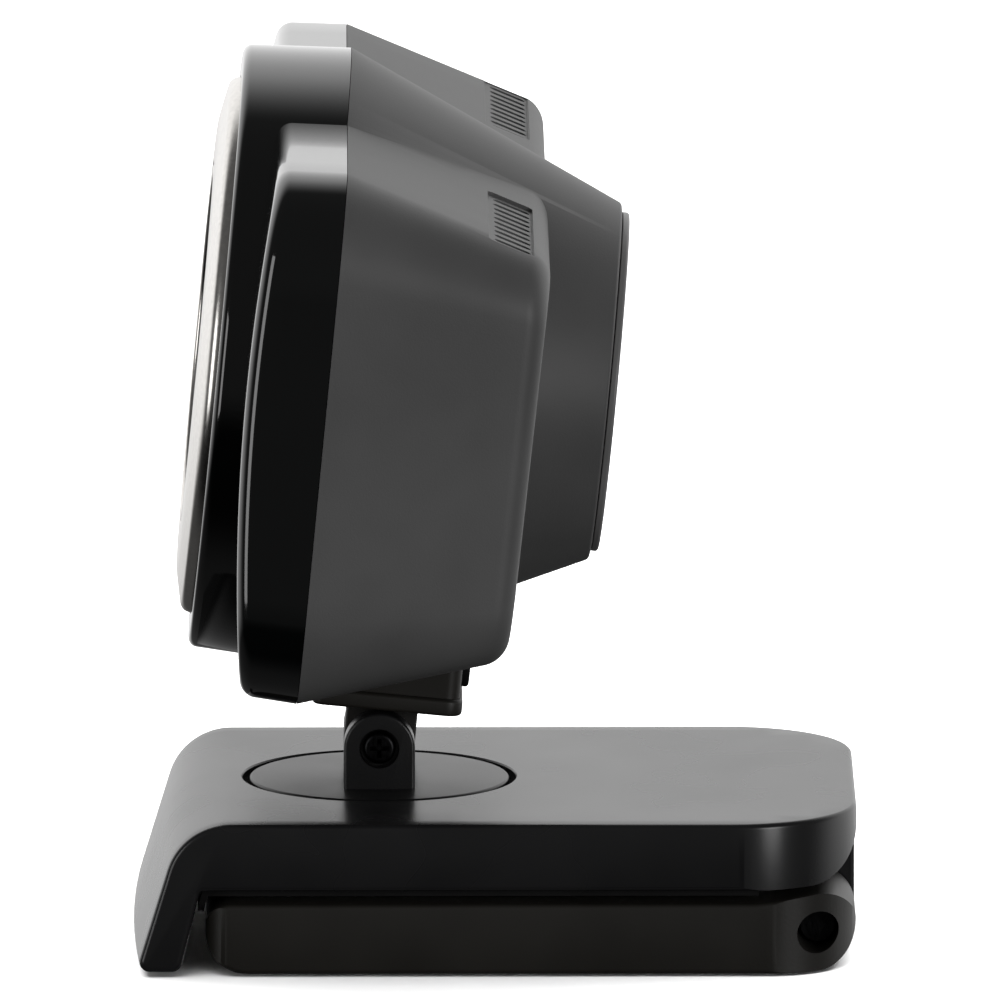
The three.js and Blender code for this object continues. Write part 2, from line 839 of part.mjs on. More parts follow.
// A rounded block across the drum from u0 to u1, narrowing by the given shares of its size per mm of u.
function wingBlock(inset, u0, u1, round, narrowX, narrowZ) {
  const halfWidth = wingHalfWidth - inset;
  const halfHeight = wingHalfHeight - inset;
  const geometry = new THREE.ExtrudeGeometry(
    roundedRectangle(halfWidth, halfHeight, wingCorner - inset),
    {
      depth: u1 - u0 - 2 * round,
      curveSegments: 7,
      bevelEnabled: round > 0,
      bevelThickness: round,
      bevelSize: round,
      bevelOffset: -round,
      bevelSegments: 3,
    },
  );
  geometry.translate(0, 0, u0 + round);
  geometry.rotateX(-Math.PI / 2);
  const position = geometry.attributes.position;
  for (let i = 0; i < position.count; i += 1) {
    const u = position.getY(i);
    position.setX(i, position.getX(i) * (1 - narrowX * u));
    position.setZ(i, position.getZ(i) * (1 - narrowZ * u) - wingDrop);
  }
  return solid(geometry);
}

// A solid across the wings whose front face leans and is bowed forward in the middle of its height.
function bowedFrontPrism(inset) {
  const shape = new THREE.Shape();
  const tall = wingHalfHeight + 5;
  const front = (v) =>
    -wingFrontLength - wingFrontLean * v - wingFrontBow * (1 - (v / wingHalfHeight) ** 2) + inset;
  const steps = 10;
  shape.moveTo(overlap, -tall - wingDrop);
  shape.lineTo(overlap, tall - wingDrop);
  for (let i = 0; i <= steps; i += 1) {
    const v = tall - (2 * tall * i) / steps;
    shape.lineTo(front(v), v - wingDrop);
  }
  return solid(sidePrism(shape, wingHalfWidth + 5));
}

const reach = 2 * wingHalfWidth; // size of the blocks that trim the shells at the seam
const ahead = solid(block(-reach, reach, -reach, -seamGap / 2, -reach, reach));
const behind = solid(block(-reach, reach, seamGap / 2, reach, -reach, reach));

function frontOuter() {
  const wings = wingBlock(
    0,
    -wingFrontLength - wingFrontBow - 3,
    overlap,
    0,
    -wingFrontDraft / wingHalfWidth,
    -wingFrontDraft / wingHalfHeight,
  ).intersect(bowedFrontPrism(0));
  const drum = solid(
    turned(
      [
        [0, -drumFrontLength],
        [drumFrontRadius - drumFrontRound, -drumFrontLength],
        [drumFrontRadius - 0.3 * drumFrontRound, -drumFrontLength + 0.3 * drumFrontRound],
        [drumFrontRadius, -drumFrontLength + drumFrontRound],
        [drumSeamRadius, 0],
        [drumSeamRadius, overlap],
        [0, overlap],
      ],
      64,
    ),
  );
  return join(wings, drum).intersect(ahead);
}

function frontInner() {
  const wings = wingBlock(
    shellWall,
    -wingFrontLength - wingFrontBow - 3,
    overlap,
    0,
    -wingFrontDraft / wingHalfWidth,
    -wingFrontDraft / wingHalfHeight,
  ).intersect(bowedFrontPrism(shellWall));
  const drum = solid(
    turned(
      rodPoints(drumFrontRadius - shellWall + 0.4, ringRecessU + shellWall, overlap),
      60,
    ),
  );
  return join(wings, drum);
}

const shellScrewX = wingHalfWidth - 8.8;
const shellScrewV = 13;
const shellScrewSpots = [
  [-shellScrewX, shellScrewV],
  [shellScrewX, shellScrewV],
  [-shellScrewX, -shellScrewV],
  [shellScrewX, -shellScrewV],
];
const shellPostRadius = 3.6;
const shellBossRadius = 2.6;
const boardBossRadius = 2.2;
const boardScrewX = 30;
const frontBossEndU = 9;
const rearBossStartU = frontBossEndU + fit;
const shellScrewSeatU = 12;

function makeFrontShell() {
  const shell = cut(frontOuter(), frontInner());
  const bossStartU = -wingFrontLength;
  const screwBosses = shellScrewSpots.map(([x, z]) =>
    solid(rodAlongY(shellBossRadius, bossStartU, frontBossEndU, x, z, 20)),
  );
  const boardBosses = [-boardScrewX, boardScrewX].map((x) =>
    solid(rodAlongY(boardBossRadius, bossStartU, boardFrontU - fit, x, 0, 20)),
  );
  const ringSeat = rodAlongY(ringRadius + fit, -farAway, ringRecessU, 0, 0, 72);
  const opening = rodAlongY(openingRadius, -farAway, 0, 0, 0, 48);
  const screwBores = shellScrewSpots.map(([x, z]) =>
    solid(rodAlongY(screwRadius + fit, -2, frontBossEndU + 1, x, z, 12)),
  );
  const boardBores = [-boardScrewX, boardScrewX].map((x) =>
    solid(rodAlongY(screwRadius + fit, -3, boardFrontU + 1, x, 0, 12)),
  );
  return cut(
    join(shell, ...screwBosses, ...boardBosses),
    solid(ringSeat),
    solid(opening),
    ...screwBores,
    ...boardBores,
  );
}

const rearTaper = (inset, round) =>
  wingBlock(
    inset,
    -overlap,
    wingRearLength - inset,
    round,
    wingSideTaper / wingHalfWidth,
    wingRearSlope / wingHalfHeight,
  );

// The turned rear body. Grown outwards it also shapes the saddle that carries it.
function rearCone(grow, rearU) {
  return solid(
    turned(
      [
        [0, -overlap],
        [coneRadius(-overlap) + grow, -overlap],
        [coneRadius(rearU - 0.8) + grow, rearU - 0.8],
        [coneRadius(rearU) + grow - 0.5, rearU],
        [0, rearU],
      ],
      64,
    ),
  );
}

const rearDiscPinRadius = 3;
const bracketScrewUs = [5.2, 10.2];
const glandRadius = 1.7;
const glandFlangeRadius = 2.2;
const glandClearance = 0.2; // from the gland's flange down to the bracket's plate
const cordBore = 1.2;
const cordHoleU = 13.6; // where the cord's way turns up into the head

function makeRearShell() {
  const outer = join(rearTaper(0, wingRearRound), rearCone(0, drumRearLength)).intersect(behind);
  const inner = join(
    rearTaper(shellWall, 0),
    rearCone(-coneWall, drumRearLength - shellWall),
  );
  const screwPosts = shellScrewSpots.map(([x, z]) =>
    solid(rodAlongY(shellPostRadius, rearBossStartU, wingRearLength - 1, x, z, 20)),
  );
  const counterbores = shellScrewSpots.map(([x, z]) =>
    solid(rodAlongY(screwHeadRadius + fit, shellScrewSeatU, farAway, x, z, 20)),
  );
  const screwHoles = shellScrewSpots.map(([x, z]) =>
    solid(rodAlongY(screwRadius + fit, 0, farAway, x, z, 12)),
  );
  const slots = [-1, 1].flatMap((side) =>
    Array.from({ length: slotCount }, (_, i) => {
      const x = side * (slotOuterX - i * slotPitch);
      return solid(
        block(x - slotWidth / 2, x + slotWidth / 2, slotFrontU, slotFrontU + slotLength, 12, wingHalfHeight),
      );
    }),
  );
  const bracketHoles = bracketScrewUs.map((u) =>
    solid(rodAlongZ(screwRadius + fit, -pivotBelowAxis, -10, 0, u, 12)),
  );
  const cordHole = rodAlongZ(cordBore + fit, -pivotBelowAxis, -10, 0, cordHoleU, 16);
  const pinHole = rodAlongY(rearDiscPinRadius + fit, 20, farAway, 0, 0, 24);
  return cut(
    join(cut(outer, inner), ...screwPosts),
    ...counterbores,
    ...screwHoles,
    ...slots,
    ...bracketHoles,
    solid(cordHole),
    solid(pinHole),
  );
}

place(head, "front_shell", makeFrontShell(), finishes.glossBlack());
place(head, "rear_shell", makeRearShell(), finishes.satinGrey());

const rearDiscRadius = 16.2;
const rearDiscU = drumRearLength + fit;
place(
  head,
  "rear_disc",
  turned(
    [
      [0, rearDiscU - 2.5],
      [rearDiscPinRadius, rearDiscU - 2.5],
      [rearDiscPinRadius, rearDiscU],
      [rearDiscRadius, rearDiscU],
      [rearDiscRadius, rearDiscU + 0.3],
      [rearDiscRadius - 0.3, rearDiscU + 0.6],
      [0, rearDiscU + 0.6],
    ],
    48,
  ),
  finishes.lightGrey(),
);

shellScrewSpots.forEach(([x, z], i) => {
  const screw = geometryOf(crossHeadScrew(shellScrewSeatU + fit + 1.5));
  screw.translate(x, shellScrewSeatU + fit, z);
  place(head, `shell_screw_${i + 1}`, screw, finishes.blackSteel());
});

// ---------------------------------------------------------------- head: neck bracket

const plateBelowPivotFrame = -pivotBelowAxis + lugRadius + fit;
const plateThickness = 1.6;
const plateHalfWidth = 7;
const plateFrontU = 2.1;
const plateRearU = 16.4;
const saddleRearU = 16.1;
const glandV = plateBelowPivotFrame + plateThickness + glandClearance + glandFlangeRadius;
const glandSeatU = 13;
const saddleHalfWidth = 6.2;

function makeNeckBracket() {
  const lug = sidePrism(
    lugProfile(pivotBehindSeam, -pivotBelowAxis, lugRadius, plateBelowPivotFrame + 1),
    lugHalfThickness,
  );
  const plate = planPrism(
    planOutline(plateHalfWidth, plateFrontU, plateRearU, 1, 1.6),
    plateBelowPivotFrame,
    plateBelowPivotFrame + plateThickness,
    6,
  );
  const saddle = planPrism(
    planOutline(saddleHalfWidth, plateFrontU + 0.6, saddleRearU, 1, 1.4),
    plateBelowPivotFrame + plateThickness - 0.5,
    -15,
    6,
  );
  const screwBores = bracketScrewUs.map((u) =>
    solid(rodAlongZ(screwRadius + fit, plateBelowPivotFrame + 2, 0, 0, u, 12)),
  );
  const pivotBore = rodAlongX(
    tiltScrewRadius + fit,
    -farAway,
    farAway,
    pivotBehindSeam,
    -pivotBelowAxis,
    20,
  );
  const glandSeat = rodAlongY(glandRadius + fit, glandSeatU - fit, farAway, 0, glandV, 20);
  const cordWay = rodAlongZ(cordBore + fit, glandV, -10, 0, cordHoleU, 16);
  return cut(
    join(solid(lug), solid(plate), solid(saddle)),
    rearCone(fit, drumRearLength + 5),
    solid(pivotBore),
    solid(glandSeat),
    solid(cordWay),
    ...screwBores,
  );
}

place(head, "neck_bracket", makeNeckBracket(), finishes.satinBlack());

["front", "rear"].forEach((end, i) => {
  const u = bracketScrewUs[i];
  const seat = -(coneRadius(u + screwHeadRadius) - coneWall) + fit;
  const length = seat - (plateBelowPivotFrame + 2 + fit);
  const screw = geometryOf(screwBody(length)).rotateX(Math.PI / 2).translate(0, u, seat);
  place(head, `bracket_screw_${end}`, screw, finishes.steel());
});

const glandFlangeU = saddleRearU + fit;
place(
  head,
  "cord_gland",
  turned(
    [
      [cordBore, cordHoleU + cordBore + fit],
      [glandRadius, cordHoleU + cordBore + fit],
      [glandRadius, glandFlangeU],
      [glandFlangeRadius, glandFlangeU],
      [glandFlangeRadius, glandFlangeU + 0.3],
      [glandFlangeRadius - 0.3, glandFlangeU + 0.6],
      [cordBore, glandFlangeU + 0.6],
      [cordBore, cordHoleU + cordBore + fit],
    ],
    20,
  ).translate(0, 0, glandV),
  finishes.rubber(),
);

// ---------------------------------------------------------------- head: front trim

place(
  head,
  "front_ring",
  turned(
    [
      [ringInnerRadius, ringRecessU - fit],
      [ringInnerRadius, ringFrontU + 0.5],
      [ringInnerRadius + 0.5, ringFrontU],
      [ringRadius - 4.6, ringFrontU],
      [ringRadius - 2.4, ringFrontU + 0.25],
      [ringRadius - 0.9, ringFrontU + 0.8],
      [ringRadius, ringFrontU + 1.7],
      [ringRadius, ringRecessU - fit],
      [ringInnerRadius, ringRecessU - fit],
    ],
    60,
  ),
  finishes.silver(),
);

const dishOuterRadius = ringInnerRadius - fit;
const dishBore = focusRingRadius + 0.4;
const dishRearU = -7.2;
const ledHeight = -12;
const ledRadius = 0.8;
const ledThickness = 0.9;

function makeFrontDish() {
  const dish = turned(
    [
      [dishBore, -8.9],
      [dishOuterRadius - 0.8, ringFrontU + 0.8],
      [dishOuterRadius, ringFrontU + 0.8],
      [dishOuterRadius, ringRecessU - 0.4],
      [openingRadius - fit, ringRecessU - 0.4],
      [openingRadius - fit, dishRearU],
      [dishBore, dishRearU],
      [dishBore, -8.9],
    ],
    48,
  );
  return cut(solid(dish), solid(rodAlongY(ledRadius + fit, -farAway, 0, 0, ledHeight, 12)));
}

place(head, "front_dish", makeFrontDish(), finishes.glossBlack());

const ledFrontU = boardFrontU - fit - ledThickness;
place(
  head,
  "light_guide",
  turned(
    [
      [0, -10.3],
      [ledRadius * 0.7, -10.2],
      [ledRadius, -9.8],
      [ledRadius, ledFrontU - fit],
      [0, ledFrontU - fit],
    ],
    12,
  ).translate(0, 0, ledHeight),
  finishes.clearPlastic(),
);
place(
  head,
  "status_led",
  block(-1, 1, ledFrontU, ledFrontU + ledThickness, ledHeight - 0.8, ledHeight + 0.8),
  finishes.clearPlastic(),
);

// ---------------------------------------------------------------- head: optics

const focusRingBore = barrelRadius + fit;

function makeFocusRing() {
  const shape = new THREE.Shape();
  const points = focusLobes * 4;
  for (let i = 0; i <= points; i += 1) {
    const angle = (2 * Math.PI * i) / points;
    const radius = focusRingRadius - 0.25 + 0.25 * Math.cos(focusLobes * angle);
    const x = radius * Math.cos(angle);
    const y = radius * Math.sin(angle);
    if (i === 0) {
      shape.moveTo(x, y);
    } else if (i < points) {
      shape.lineTo(x, y);
    }
  }
  const ribbed = new THREE.ExtrudeGeometry(shape, {
    depth: focusRingLength,
    bevelEnabled: false,
  });
  ribbed.translate(0, 0, focusRingFrontU).rotateX(-Math.PI / 2);
  const bore = rodAlongY(focusRingBore, -farAway, 0, 0, 0, 48);
  return cut(solid(ribbed), solid(bore));
}

place(head, "focus_ring", makeFocusRing(), finishes.satinBlack());

const barrelRearU = barrelFrontU + barrelLength;
const barrelBore = barrelRadius - barrelWall;
place(
  head,
  "lens_barrel",
  turned(
    [
      [barrelBore, barrelFrontU],
      [barrelRadius, barrelFrontU],
      [barrelRadius, barrelRearU],
      [3.2, barrelRearU],
      [3.2, barrelRearU - 1],
      [barrelBore, barrelRearU - 1],
      [barrelBore, barrelFrontU],
    ],
    48,
  ),
  finishes.satinBlack(),
);

// A lens element between two faces: radius, front apex, rear apex and the two bulges.
function lensElement(radius, frontU, rearU, frontBulge, rearBulge, segments = 24) {
  const points = [];
  const steps = 4;
  for (let i = 0; i <= steps; i += 1) {
    const r = (radius * i) / steps;
    points.push([r, frontU + frontBulge * (i / steps) ** 2]);
  }
  for (let i = steps; i >= 0; i -= 1) {
    const r = (radius * i) / steps;
    points.push([r, rearU - rearBulge * (i / steps) ** 2]);
  }
  return turned(points, segments);
}

const elementRadius = barrelBore - fit;
place(head, "front_lens", lensElement(elementRadius, -11.4, -8.4, 1.5, 0.2), finishes.glass());
place(head, "middle_lens", lensElement(elementRadius, -7.6, -5.6, -0.4, -0.3), finishes.glass());
place(head, "rear_lens", lensElement(elementRadius, -4.9, -2.4, 0.6, 0.6), finishes.glass());

const holderBore = barrelRadius + fit;
const holderHalf = holderBore + holderWall + 0.9; // half the square foot that stands on the board
const holderFrontU = focusRingFrontU + focusRingLength + 0.5;
place(
  head,
  "lens_holder",
  cut(
    join(
      solid(rodAlongY(holderBore + holderWall, holderFrontU, 1, 0, 0, 48)),
      solid(block(-holderHalf, holderHalf, 0, boardFrontU - fit, -holderHalf, holderHalf)),
    ),
    solid(rodAlongY(holderBore, -farAway, farAway, 0, 0, 48)),
  ),
  finishes.satinBlack(),
);
place(head, "ir_filter", block(-4.6, 4.6, 0.1, 0.6, -4.6, 4.6), finishes.glass());
place(head, "image_sensor", block(-4.5, 4.5, 1.2, boardFrontU - fit, -4.5, 4.5), finishes.chip());

// ---------------------------------------------------------------- head: electronics

const boardRearU = boardFrontU + boardThickness;
place(
  head,
  "main_board",
  cut(
    join(
      solid(rodAlongY(boardRadius, boardFrontU, boardRearU, 0, 0, 48)),
      solid(block(-boardScrewX - 4, boardScrewX + 4, boardFrontU, boardRearU, -8, 8)),
    ),
    ...[-boardScrewX, boardScrewX].map((x) =>
      solid(rodAlongY(screwRadius + fit, -farAway, farAway, x, 0, 12)),
    ),
  ),
  finishes.board(),
);
[
  ["left", -1],
  ["right", 1],
].forEach(([side, sign]) => {
  const screw = geometryOf(screwBody(boardThickness + 4));
  screw.translate(sign * boardScrewX, boardRearU + fit, 0);
  place(head, `board_screw_${side}`, screw, finishes.steel());
});
const chipFrontU = boardRearU + fit;
place(head, "image_processor", block(-5, 5, chipFrontU, chipFrontU + 1.1, -2, 8), finishes.chip());
place(head, "usb_header", block(-15, -6, chipFrontU, chipFrontU + 4.5, -13, -8.5), finishes.nylon());

// ---------------------------------------------------------------- head: microphones

const micU = 14;
const micX = slotOuterX - ((slotCount - 1) / 2) * slotPitch;
const micRadius = 3;
const innerRoofSlope = (wingRearSlope / wingHalfHeight) * (wingHalfHeight - shellWall);
const innerRoof = (u) => wingHalfHeight - wingDrop - shellWall - innerRoofSlope * u;
const clothU = slotFrontU + slotLength / 2 - 1.2;
const clothThickness = 0.4;
const clothLength = 4.6;
const clothWidth = slotCount * slotPitch;
const flatRoofX = (wingHalfWidth - wingCorner) * (1 - (wingSideTaper / wingHalfWidth) * clothU);
const clothDrop = fit + clothThickness;

for (const [side, sign] of [
  ["left", -1],
  ["right", 1],
]) {
  const cloth = new THREE.BoxGeometry(clothWidth, clothLength, clothThickness);
  cloth.rotateX(-Math.atan(innerRoofSlope));
  cloth.translate(sign * (flatRoofX - clothWidth / 2), clothU, innerRoof(clothU) - clothDrop);
  place(head, `grille_cloth_${side}`, cloth, finishes.rubber());
  const capsuleTop = innerRoof(micU + micRadius) - 2 * clothDrop - fit;
  place(
    head,
    `microphone_${side}`,
    rodAlongZ(micRadius, capsuleTop - 2.6, capsuleTop, sign * micX, micU - 1.2, 24),
    finishes.steel(),
  );
  place(
    head,
    `mic_gasket_${side}`,
    turnedAboutZ(tubePoints(micRadius + fit, micRadius + 1.2, capsuleTop - 3, capsuleTop), 24)
      .translate(sign * micX, micU - 1.2, 0),
    finishes.rubber(),
  );
}

export default webcam;
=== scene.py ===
# A wide webcam on a fold-out clip stand: the visible surfaces, finishes, light and camera.
# Shapes are drawn in millimetres. The stand is drawn in the frame's own axes. The head is drawn in
# its own axes: Y along the optical axis towards the back, from the seam between the two shells.

import json
import math

import bmesh
import bpy
from mathutils import Matrix, Vector


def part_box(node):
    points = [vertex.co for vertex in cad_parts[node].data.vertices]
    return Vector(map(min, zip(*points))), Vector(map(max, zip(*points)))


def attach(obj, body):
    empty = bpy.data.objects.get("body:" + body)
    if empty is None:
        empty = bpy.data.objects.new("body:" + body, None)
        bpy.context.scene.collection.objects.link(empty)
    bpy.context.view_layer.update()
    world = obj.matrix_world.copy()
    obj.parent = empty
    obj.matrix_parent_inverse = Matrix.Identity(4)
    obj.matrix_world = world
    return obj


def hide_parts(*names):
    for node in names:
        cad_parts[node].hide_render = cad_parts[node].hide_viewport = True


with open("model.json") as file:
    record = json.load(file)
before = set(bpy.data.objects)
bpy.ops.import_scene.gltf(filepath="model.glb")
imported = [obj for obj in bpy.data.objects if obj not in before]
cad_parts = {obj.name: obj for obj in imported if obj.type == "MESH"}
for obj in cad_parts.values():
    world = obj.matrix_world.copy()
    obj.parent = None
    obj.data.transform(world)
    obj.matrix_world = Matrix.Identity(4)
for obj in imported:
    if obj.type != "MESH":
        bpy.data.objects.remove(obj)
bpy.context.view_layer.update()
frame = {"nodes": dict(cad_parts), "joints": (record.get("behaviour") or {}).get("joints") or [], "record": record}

MM = 0.001
NODES = frame["nodes"]


def hinge_point(name):
    return next(Vector(joint["pos_m"]) / MM for joint in frame["joints"] if joint["name"] == name)


TILT_POINT = hinge_point("head_tilt")
FOLD_POINT = hinge_point("leg_fold")
SWIVEL_POINT = hinge_point("head_swivel")

# ---------------------------------------------------------------- sizes, in millimetres

HEAD_LEAN = math.radians(5.5)
PIVOT_BEHIND_SEAM = 8.9
PIVOT_BELOW_AXIS = 36.2

FAR = 30                       # far end of a cutter in the head
FAR_SIDE = 40                  # far end of a cutter across the stand
SHAVE = 0.01                   # what an outer cutter leaves clear of the faces it doesn't cut
SEAT_FIT = 0.3                 # clearance round an inset cover

STAND = Matrix.Scale(MM, 4)
HEAD = (
    STAND
    @ Matrix.Translation(TILT_POINT)
    @ Matrix.Rotation(-HEAD_LEAN, 4, "X")
    @ Matrix.Translation((0, -PIVOT_BEHIND_SEAM, PIVOT_BELOW_AXIS))
)


def box_mm(node):
    """The lowest and highest corners of a frame node, in millimetres."""
    low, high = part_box(node)
    return Vector(low) / MM, Vector(high) / MM


# ---------------------------------------------------------------- outlines

def arc(centre_a, centre_b, radius, start, end, steps):
    """Points of an arc, angles in degrees, both ends included."""
    points = []
    for i in range(steps + 1):
        angle = math.radians(start + (end - start) * i / steps)
        points.append((centre_a + radius * math.cos(angle), centre_b + radius * math.sin(angle)))
    return points


def rounded(corners, closed=True, step_degrees=7.5):
    """A path through corners given as (a, b, radius), each corner turned into an arc of its radius."""
    count = len(corners)
    path = []
    for i, (a, b, radius) in enumerate(corners):
        here = Vector((a, b))
        before = Vector(corners[i - 1][:2])
        after = Vector(corners[(i + 1) % count][:2])
        at_end = not closed and i in (0, count - 1)
        to_before = (before - here).normalized()
        to_after = (after - here).normalized()
        between = math.acos(max(-1, min(1, to_before.dot(to_after))))
        if radius <= 0 or at_end or math.pi - between < 0.01:
            path.append((a, b))
            continue
        reach = radius / math.tan(between / 2)
        middle = here + (to_before + to_after).normalized() * radius / math.sin(between / 2)
        start = here + to_before * reach - middle
        end = here + to_after * reach - middle
        turn = start.angle_signed(end)
        steps = max(2, math.ceil(abs(math.degrees(turn)) / step_degrees))
        for k in range(steps + 1):
            path.append(tuple(middle + Matrix.Rotation(-turn * k / steps, 2) @ start))
    return path


def dense(path, longest, closed=True):
    """The same path with its long straight stretches divided."""
    result = []
    count = len(path)
    for i in range(count if closed else count - 1):
        start = Vector(path[i])
        end = Vector(path[(i + 1) % count])
        pieces = max(1, math.ceil((end - start).length / longest))
        for k in range(pieces):
            result.append(tuple(start.lerp(end, k / pieces)))
    if not closed:
        result.append(tuple(path[-1]))
    return result


def area_of(outline):
    return 0.5 * sum(
        outline[i - 1][0] * outline[i][1] - outline[i][0] * outline[i - 1][1]
        for i in range(len(outline))
    )


def inset(outline, distance):
    """A closed outline moved inwards by a small distance, point for point."""
    sign = 1 if area_of(outline) > 0 else -1
    count = len(outline)
    moved = []
    for i in range(count):
        before, here, after = outline[i - 1], outline[i], outline[(i + 1) % count]
        first = Vector((here[0] - before[0], here[1] - before[1])).normalized()
        second = Vector((after[0] - here[0], after[1] - here[1])).normalized()
        normal = Vector((-(first.y + second.y), first.x + second.x)).normalized() * sign
        stretch = 1 / max(0.5, normal.dot(Vector((-first.y, first.x)) * sign))
        moved.append((here[0] + normal.x * distance * stretch, here[1] + normal.y * distance * stretch))
    return moved


# ---------------------------------------------------------------- solids

def surface(name, rings, loops_closed=True, ends="cap"):
    """A skin over rings of points. Each ring is a closed loop; ends are capped or joined to each other."""
    mesh = bpy.data.meshes.new(name)
    build = bmesh.new()
    rows = [[build.verts.new(point) for point in ring] for ring in rings]
    count = len(rows[0])
    pairs = list(zip(rows, rows[1:]))
    if ends == "join":
        pairs.append((rows[-1], rows[0]))
    for low, high in pairs:
        for i in range(count):
            k = (i + 1) % count
            if not loops_closed and k == 0:
                continue
            build.faces.new((low[i], low[k], high[k], high[i]))
    if ends == "cap":
        build.faces.new(reversed(rows[0]))
        build.faces.new(rows[-1])
    bmesh.ops.remove_doubles(build, verts=build.verts, dist=1e-5)
    bmesh.ops.recalc_face_normals(build, faces=build.faces)
    build.to_mesh(mesh)
    build.free()
    piece = bpy.data.objects.new(name, mesh)
    bpy.context.scene.collection.objects.link(piece)
    return piece


AXES = {
    "X": lambda a, b, along: (along, a, b),
    "Y": lambda a, b, along: (a, along, b),
    "Z": lambda a, b, along: (a, b, along),
}


def prism(name, outline, low, high, axis, edge=0.3, stations=(), warp=None, edge_steps=4):
    """An outline made solid along an axis, with rounded end edges. warp may move each point."""
    rings = [(low + edge * (1 - math.cos(math.pi / 2 * i / edge_steps)),
              edge * (1 - math.sin(math.pi / 2 * i / edge_steps))) for i in range(edge_steps + 1)]
    middle = [(place, 0.0) for place in stations if low + edge < place < high - edge]
    mirrored = [(high + low - place, amount) for place, amount in reversed(rings)]
    placed = []
    for along, amount in rings + middle + mirrored:
        loop = inset(outline, amount) if amount > 1e-9 else outline
        points = [AXES[axis](a, b, along) for a, b in loop]
        placed.append([warp(*point) for point in points] if warp else points)
    return surface(name, placed)


def turned(name, profile, axis="Y", segments=192, closed=False):
    """A profile of (radius, place along the axis), turned about that axis. A closed profile is a ring."""
    rings = []
    for i in range(segments):
        angle = 2 * math.pi * i / segments
        rings.append([
            AXES[axis](radius * math.cos(angle), radius * math.sin(angle), along)
            for radius, along in profile
        ])
    return surface(name, rings, loops_closed=closed, ends="join")


def combine(piece, others, operation):
    """Joins others to piece, or cuts them from it, and removes them."""
    for other in others:
        step = piece.modifiers.new("step", "BOOLEAN")
        step.operation = operation
        step.solver = "EXACT"
        step.object = other
        graph = bpy.context.evaluated_depsgraph_get()
        mesh = bpy.data.meshes.new_from_object(piece.evaluated_get(graph))
        piece.modifiers.remove(step)
        old = piece.data
        piece.data = mesh
        bpy.data.meshes.remove(old)
        bpy.data.objects.remove(other)
    return piece


def join(piece, *others):
    return combine(piece, others, "UNION")


def cut(piece, *others):
    return combine(piece, others, "DIFFERENCE")


def finish_piece(piece, place, body, slot, replaced, finish=None, smooth_degrees=28):
    """Places a piece in its mesh, smooths it, gives it its finish and says what it rides on and replaces."""
    piece.data.transform(place)
    piece.data.materials.clear()
    piece.data.materials.append(FINISH[finish or slot])
    for polygon in piece.data.polygons:
        polygon.material_index = 0
    piece.data.shade_smooth()
    piece.data.set_sharp_from_angle(angle=math.radians(smooth_degrees))
    piece.data.update()
    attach(piece, body)
    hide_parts(*replaced)


# ---------------------------------------------------------------- finishes

def linear(hex_colour):
    """An sRGB hex colour as linear RGBA."""
    channels = [int(hex_colour[i:i + 2], 16) / 255 for i in (0, 2, 4)]
    return [c / 12.92 if c <= 0.04045 else ((c + 0.055) / 1.055) ** 2.4 for c in channels] + [1.0]


def add(tree, kind, links=(), **settings):
    """Adds a node, with its properties and socket values, and links other nodes' outputs to its inputs."""
    node = tree.nodes.new(kind)
    for key, value in settings.items():
        if hasattr(node, key):
            setattr(node, key, value)
        else:
            node.inputs[key.replace("_", " ")].default_value = value
    for output, name in links:
        tree.links.new(output, node.inputs[name])
    return node


def new_finish(name, **settings):
    """A material with a Principled shader whose constant sockets are set directly."""
    material = bpy.data.materials.new(name)
    material.use_nodes = True
    tree = material.node_tree
    shader = tree.nodes["Principled BSDF"]
    for key, value in settings.items():
        shader.inputs[key.replace("_", " ")].default_value = value
    place = add(tree, "ShaderNodeTexCoord")
    return material, tree, shader, place.outputs["Object"]


def per_metre(size_mm):
    """A texture scale that gives features of about this size."""
    return 1.0 / (size_mm * MM)


def vary_colour(tree, shader, source, dark, light, low=0.35, high=0.65):
    """Links a colour that moves between two hex colours as a texture's value does."""
    ramp = add(tree, "ShaderNodeValToRGB", links=[(source, "Fac")])
    ramp.color_ramp.elements[0].position = low
    ramp.color_ramp.elements[0].color = linear(dark)
    ramp.color_ramp.elements[1].position = high
    ramp.color_ramp.elements[1].color = linear(light)
    tree.links.new(ramp.outputs["Color"], shader.inputs["Base Color"])


def vary_roughness(tree, shader, source, low, high):
    """Links a roughness that moves between two values as a texture's value does."""
    spread = add(tree, "ShaderNodeMapRange", links=[(source, "Value")], To_Min=low, To_Max=high)
    tree.links.new(spread.outputs["Result"], shader.inputs["Roughness"])


def raise_grain(tree, shader, source, height_mm):
    """Links a bump of this height that follows a texture's value."""
    bump = add(tree, "ShaderNodeBump", links=[(source, "Height")], Strength=1.0, Distance=height_mm * MM)
    tree.links.new(bump.outputs["Normal"], shader.inputs["Normal"])


def noise(tree, vector, size_mm, detail=3.0, roughness=0.55):
    texture = add(tree, "ShaderNodeTexNoise", links=[(vector, "Vector")], Detail=detail, Roughness=roughness)
    texture.inputs["Scale"].default_value = per_metre(size_mm)
    return texture.outputs["Fac"]


def painted_abs(name, dark, light, rough_low, rough_high, grain_mm, grain_height_mm):
    """Moulded ABS under a thin satin lacquer: nearly even, with a fine orange-peel grain."""
    material, tree, shader, vector = new_finish(name, IOR=1.5, Specular_IOR_Level=0.5)
    clouds = noise(tree, vector, 14, 2.0)
    grain = noise(tree, vector, grain_mm, 2.0, 0.6)
    vary_colour(tree, shader, clouds, dark, light)
    vary_roughness(tree, shader, clouds, rough_low, rough_high)
    raise_grain(tree, shader, grain, grain_height_mm)
    return material


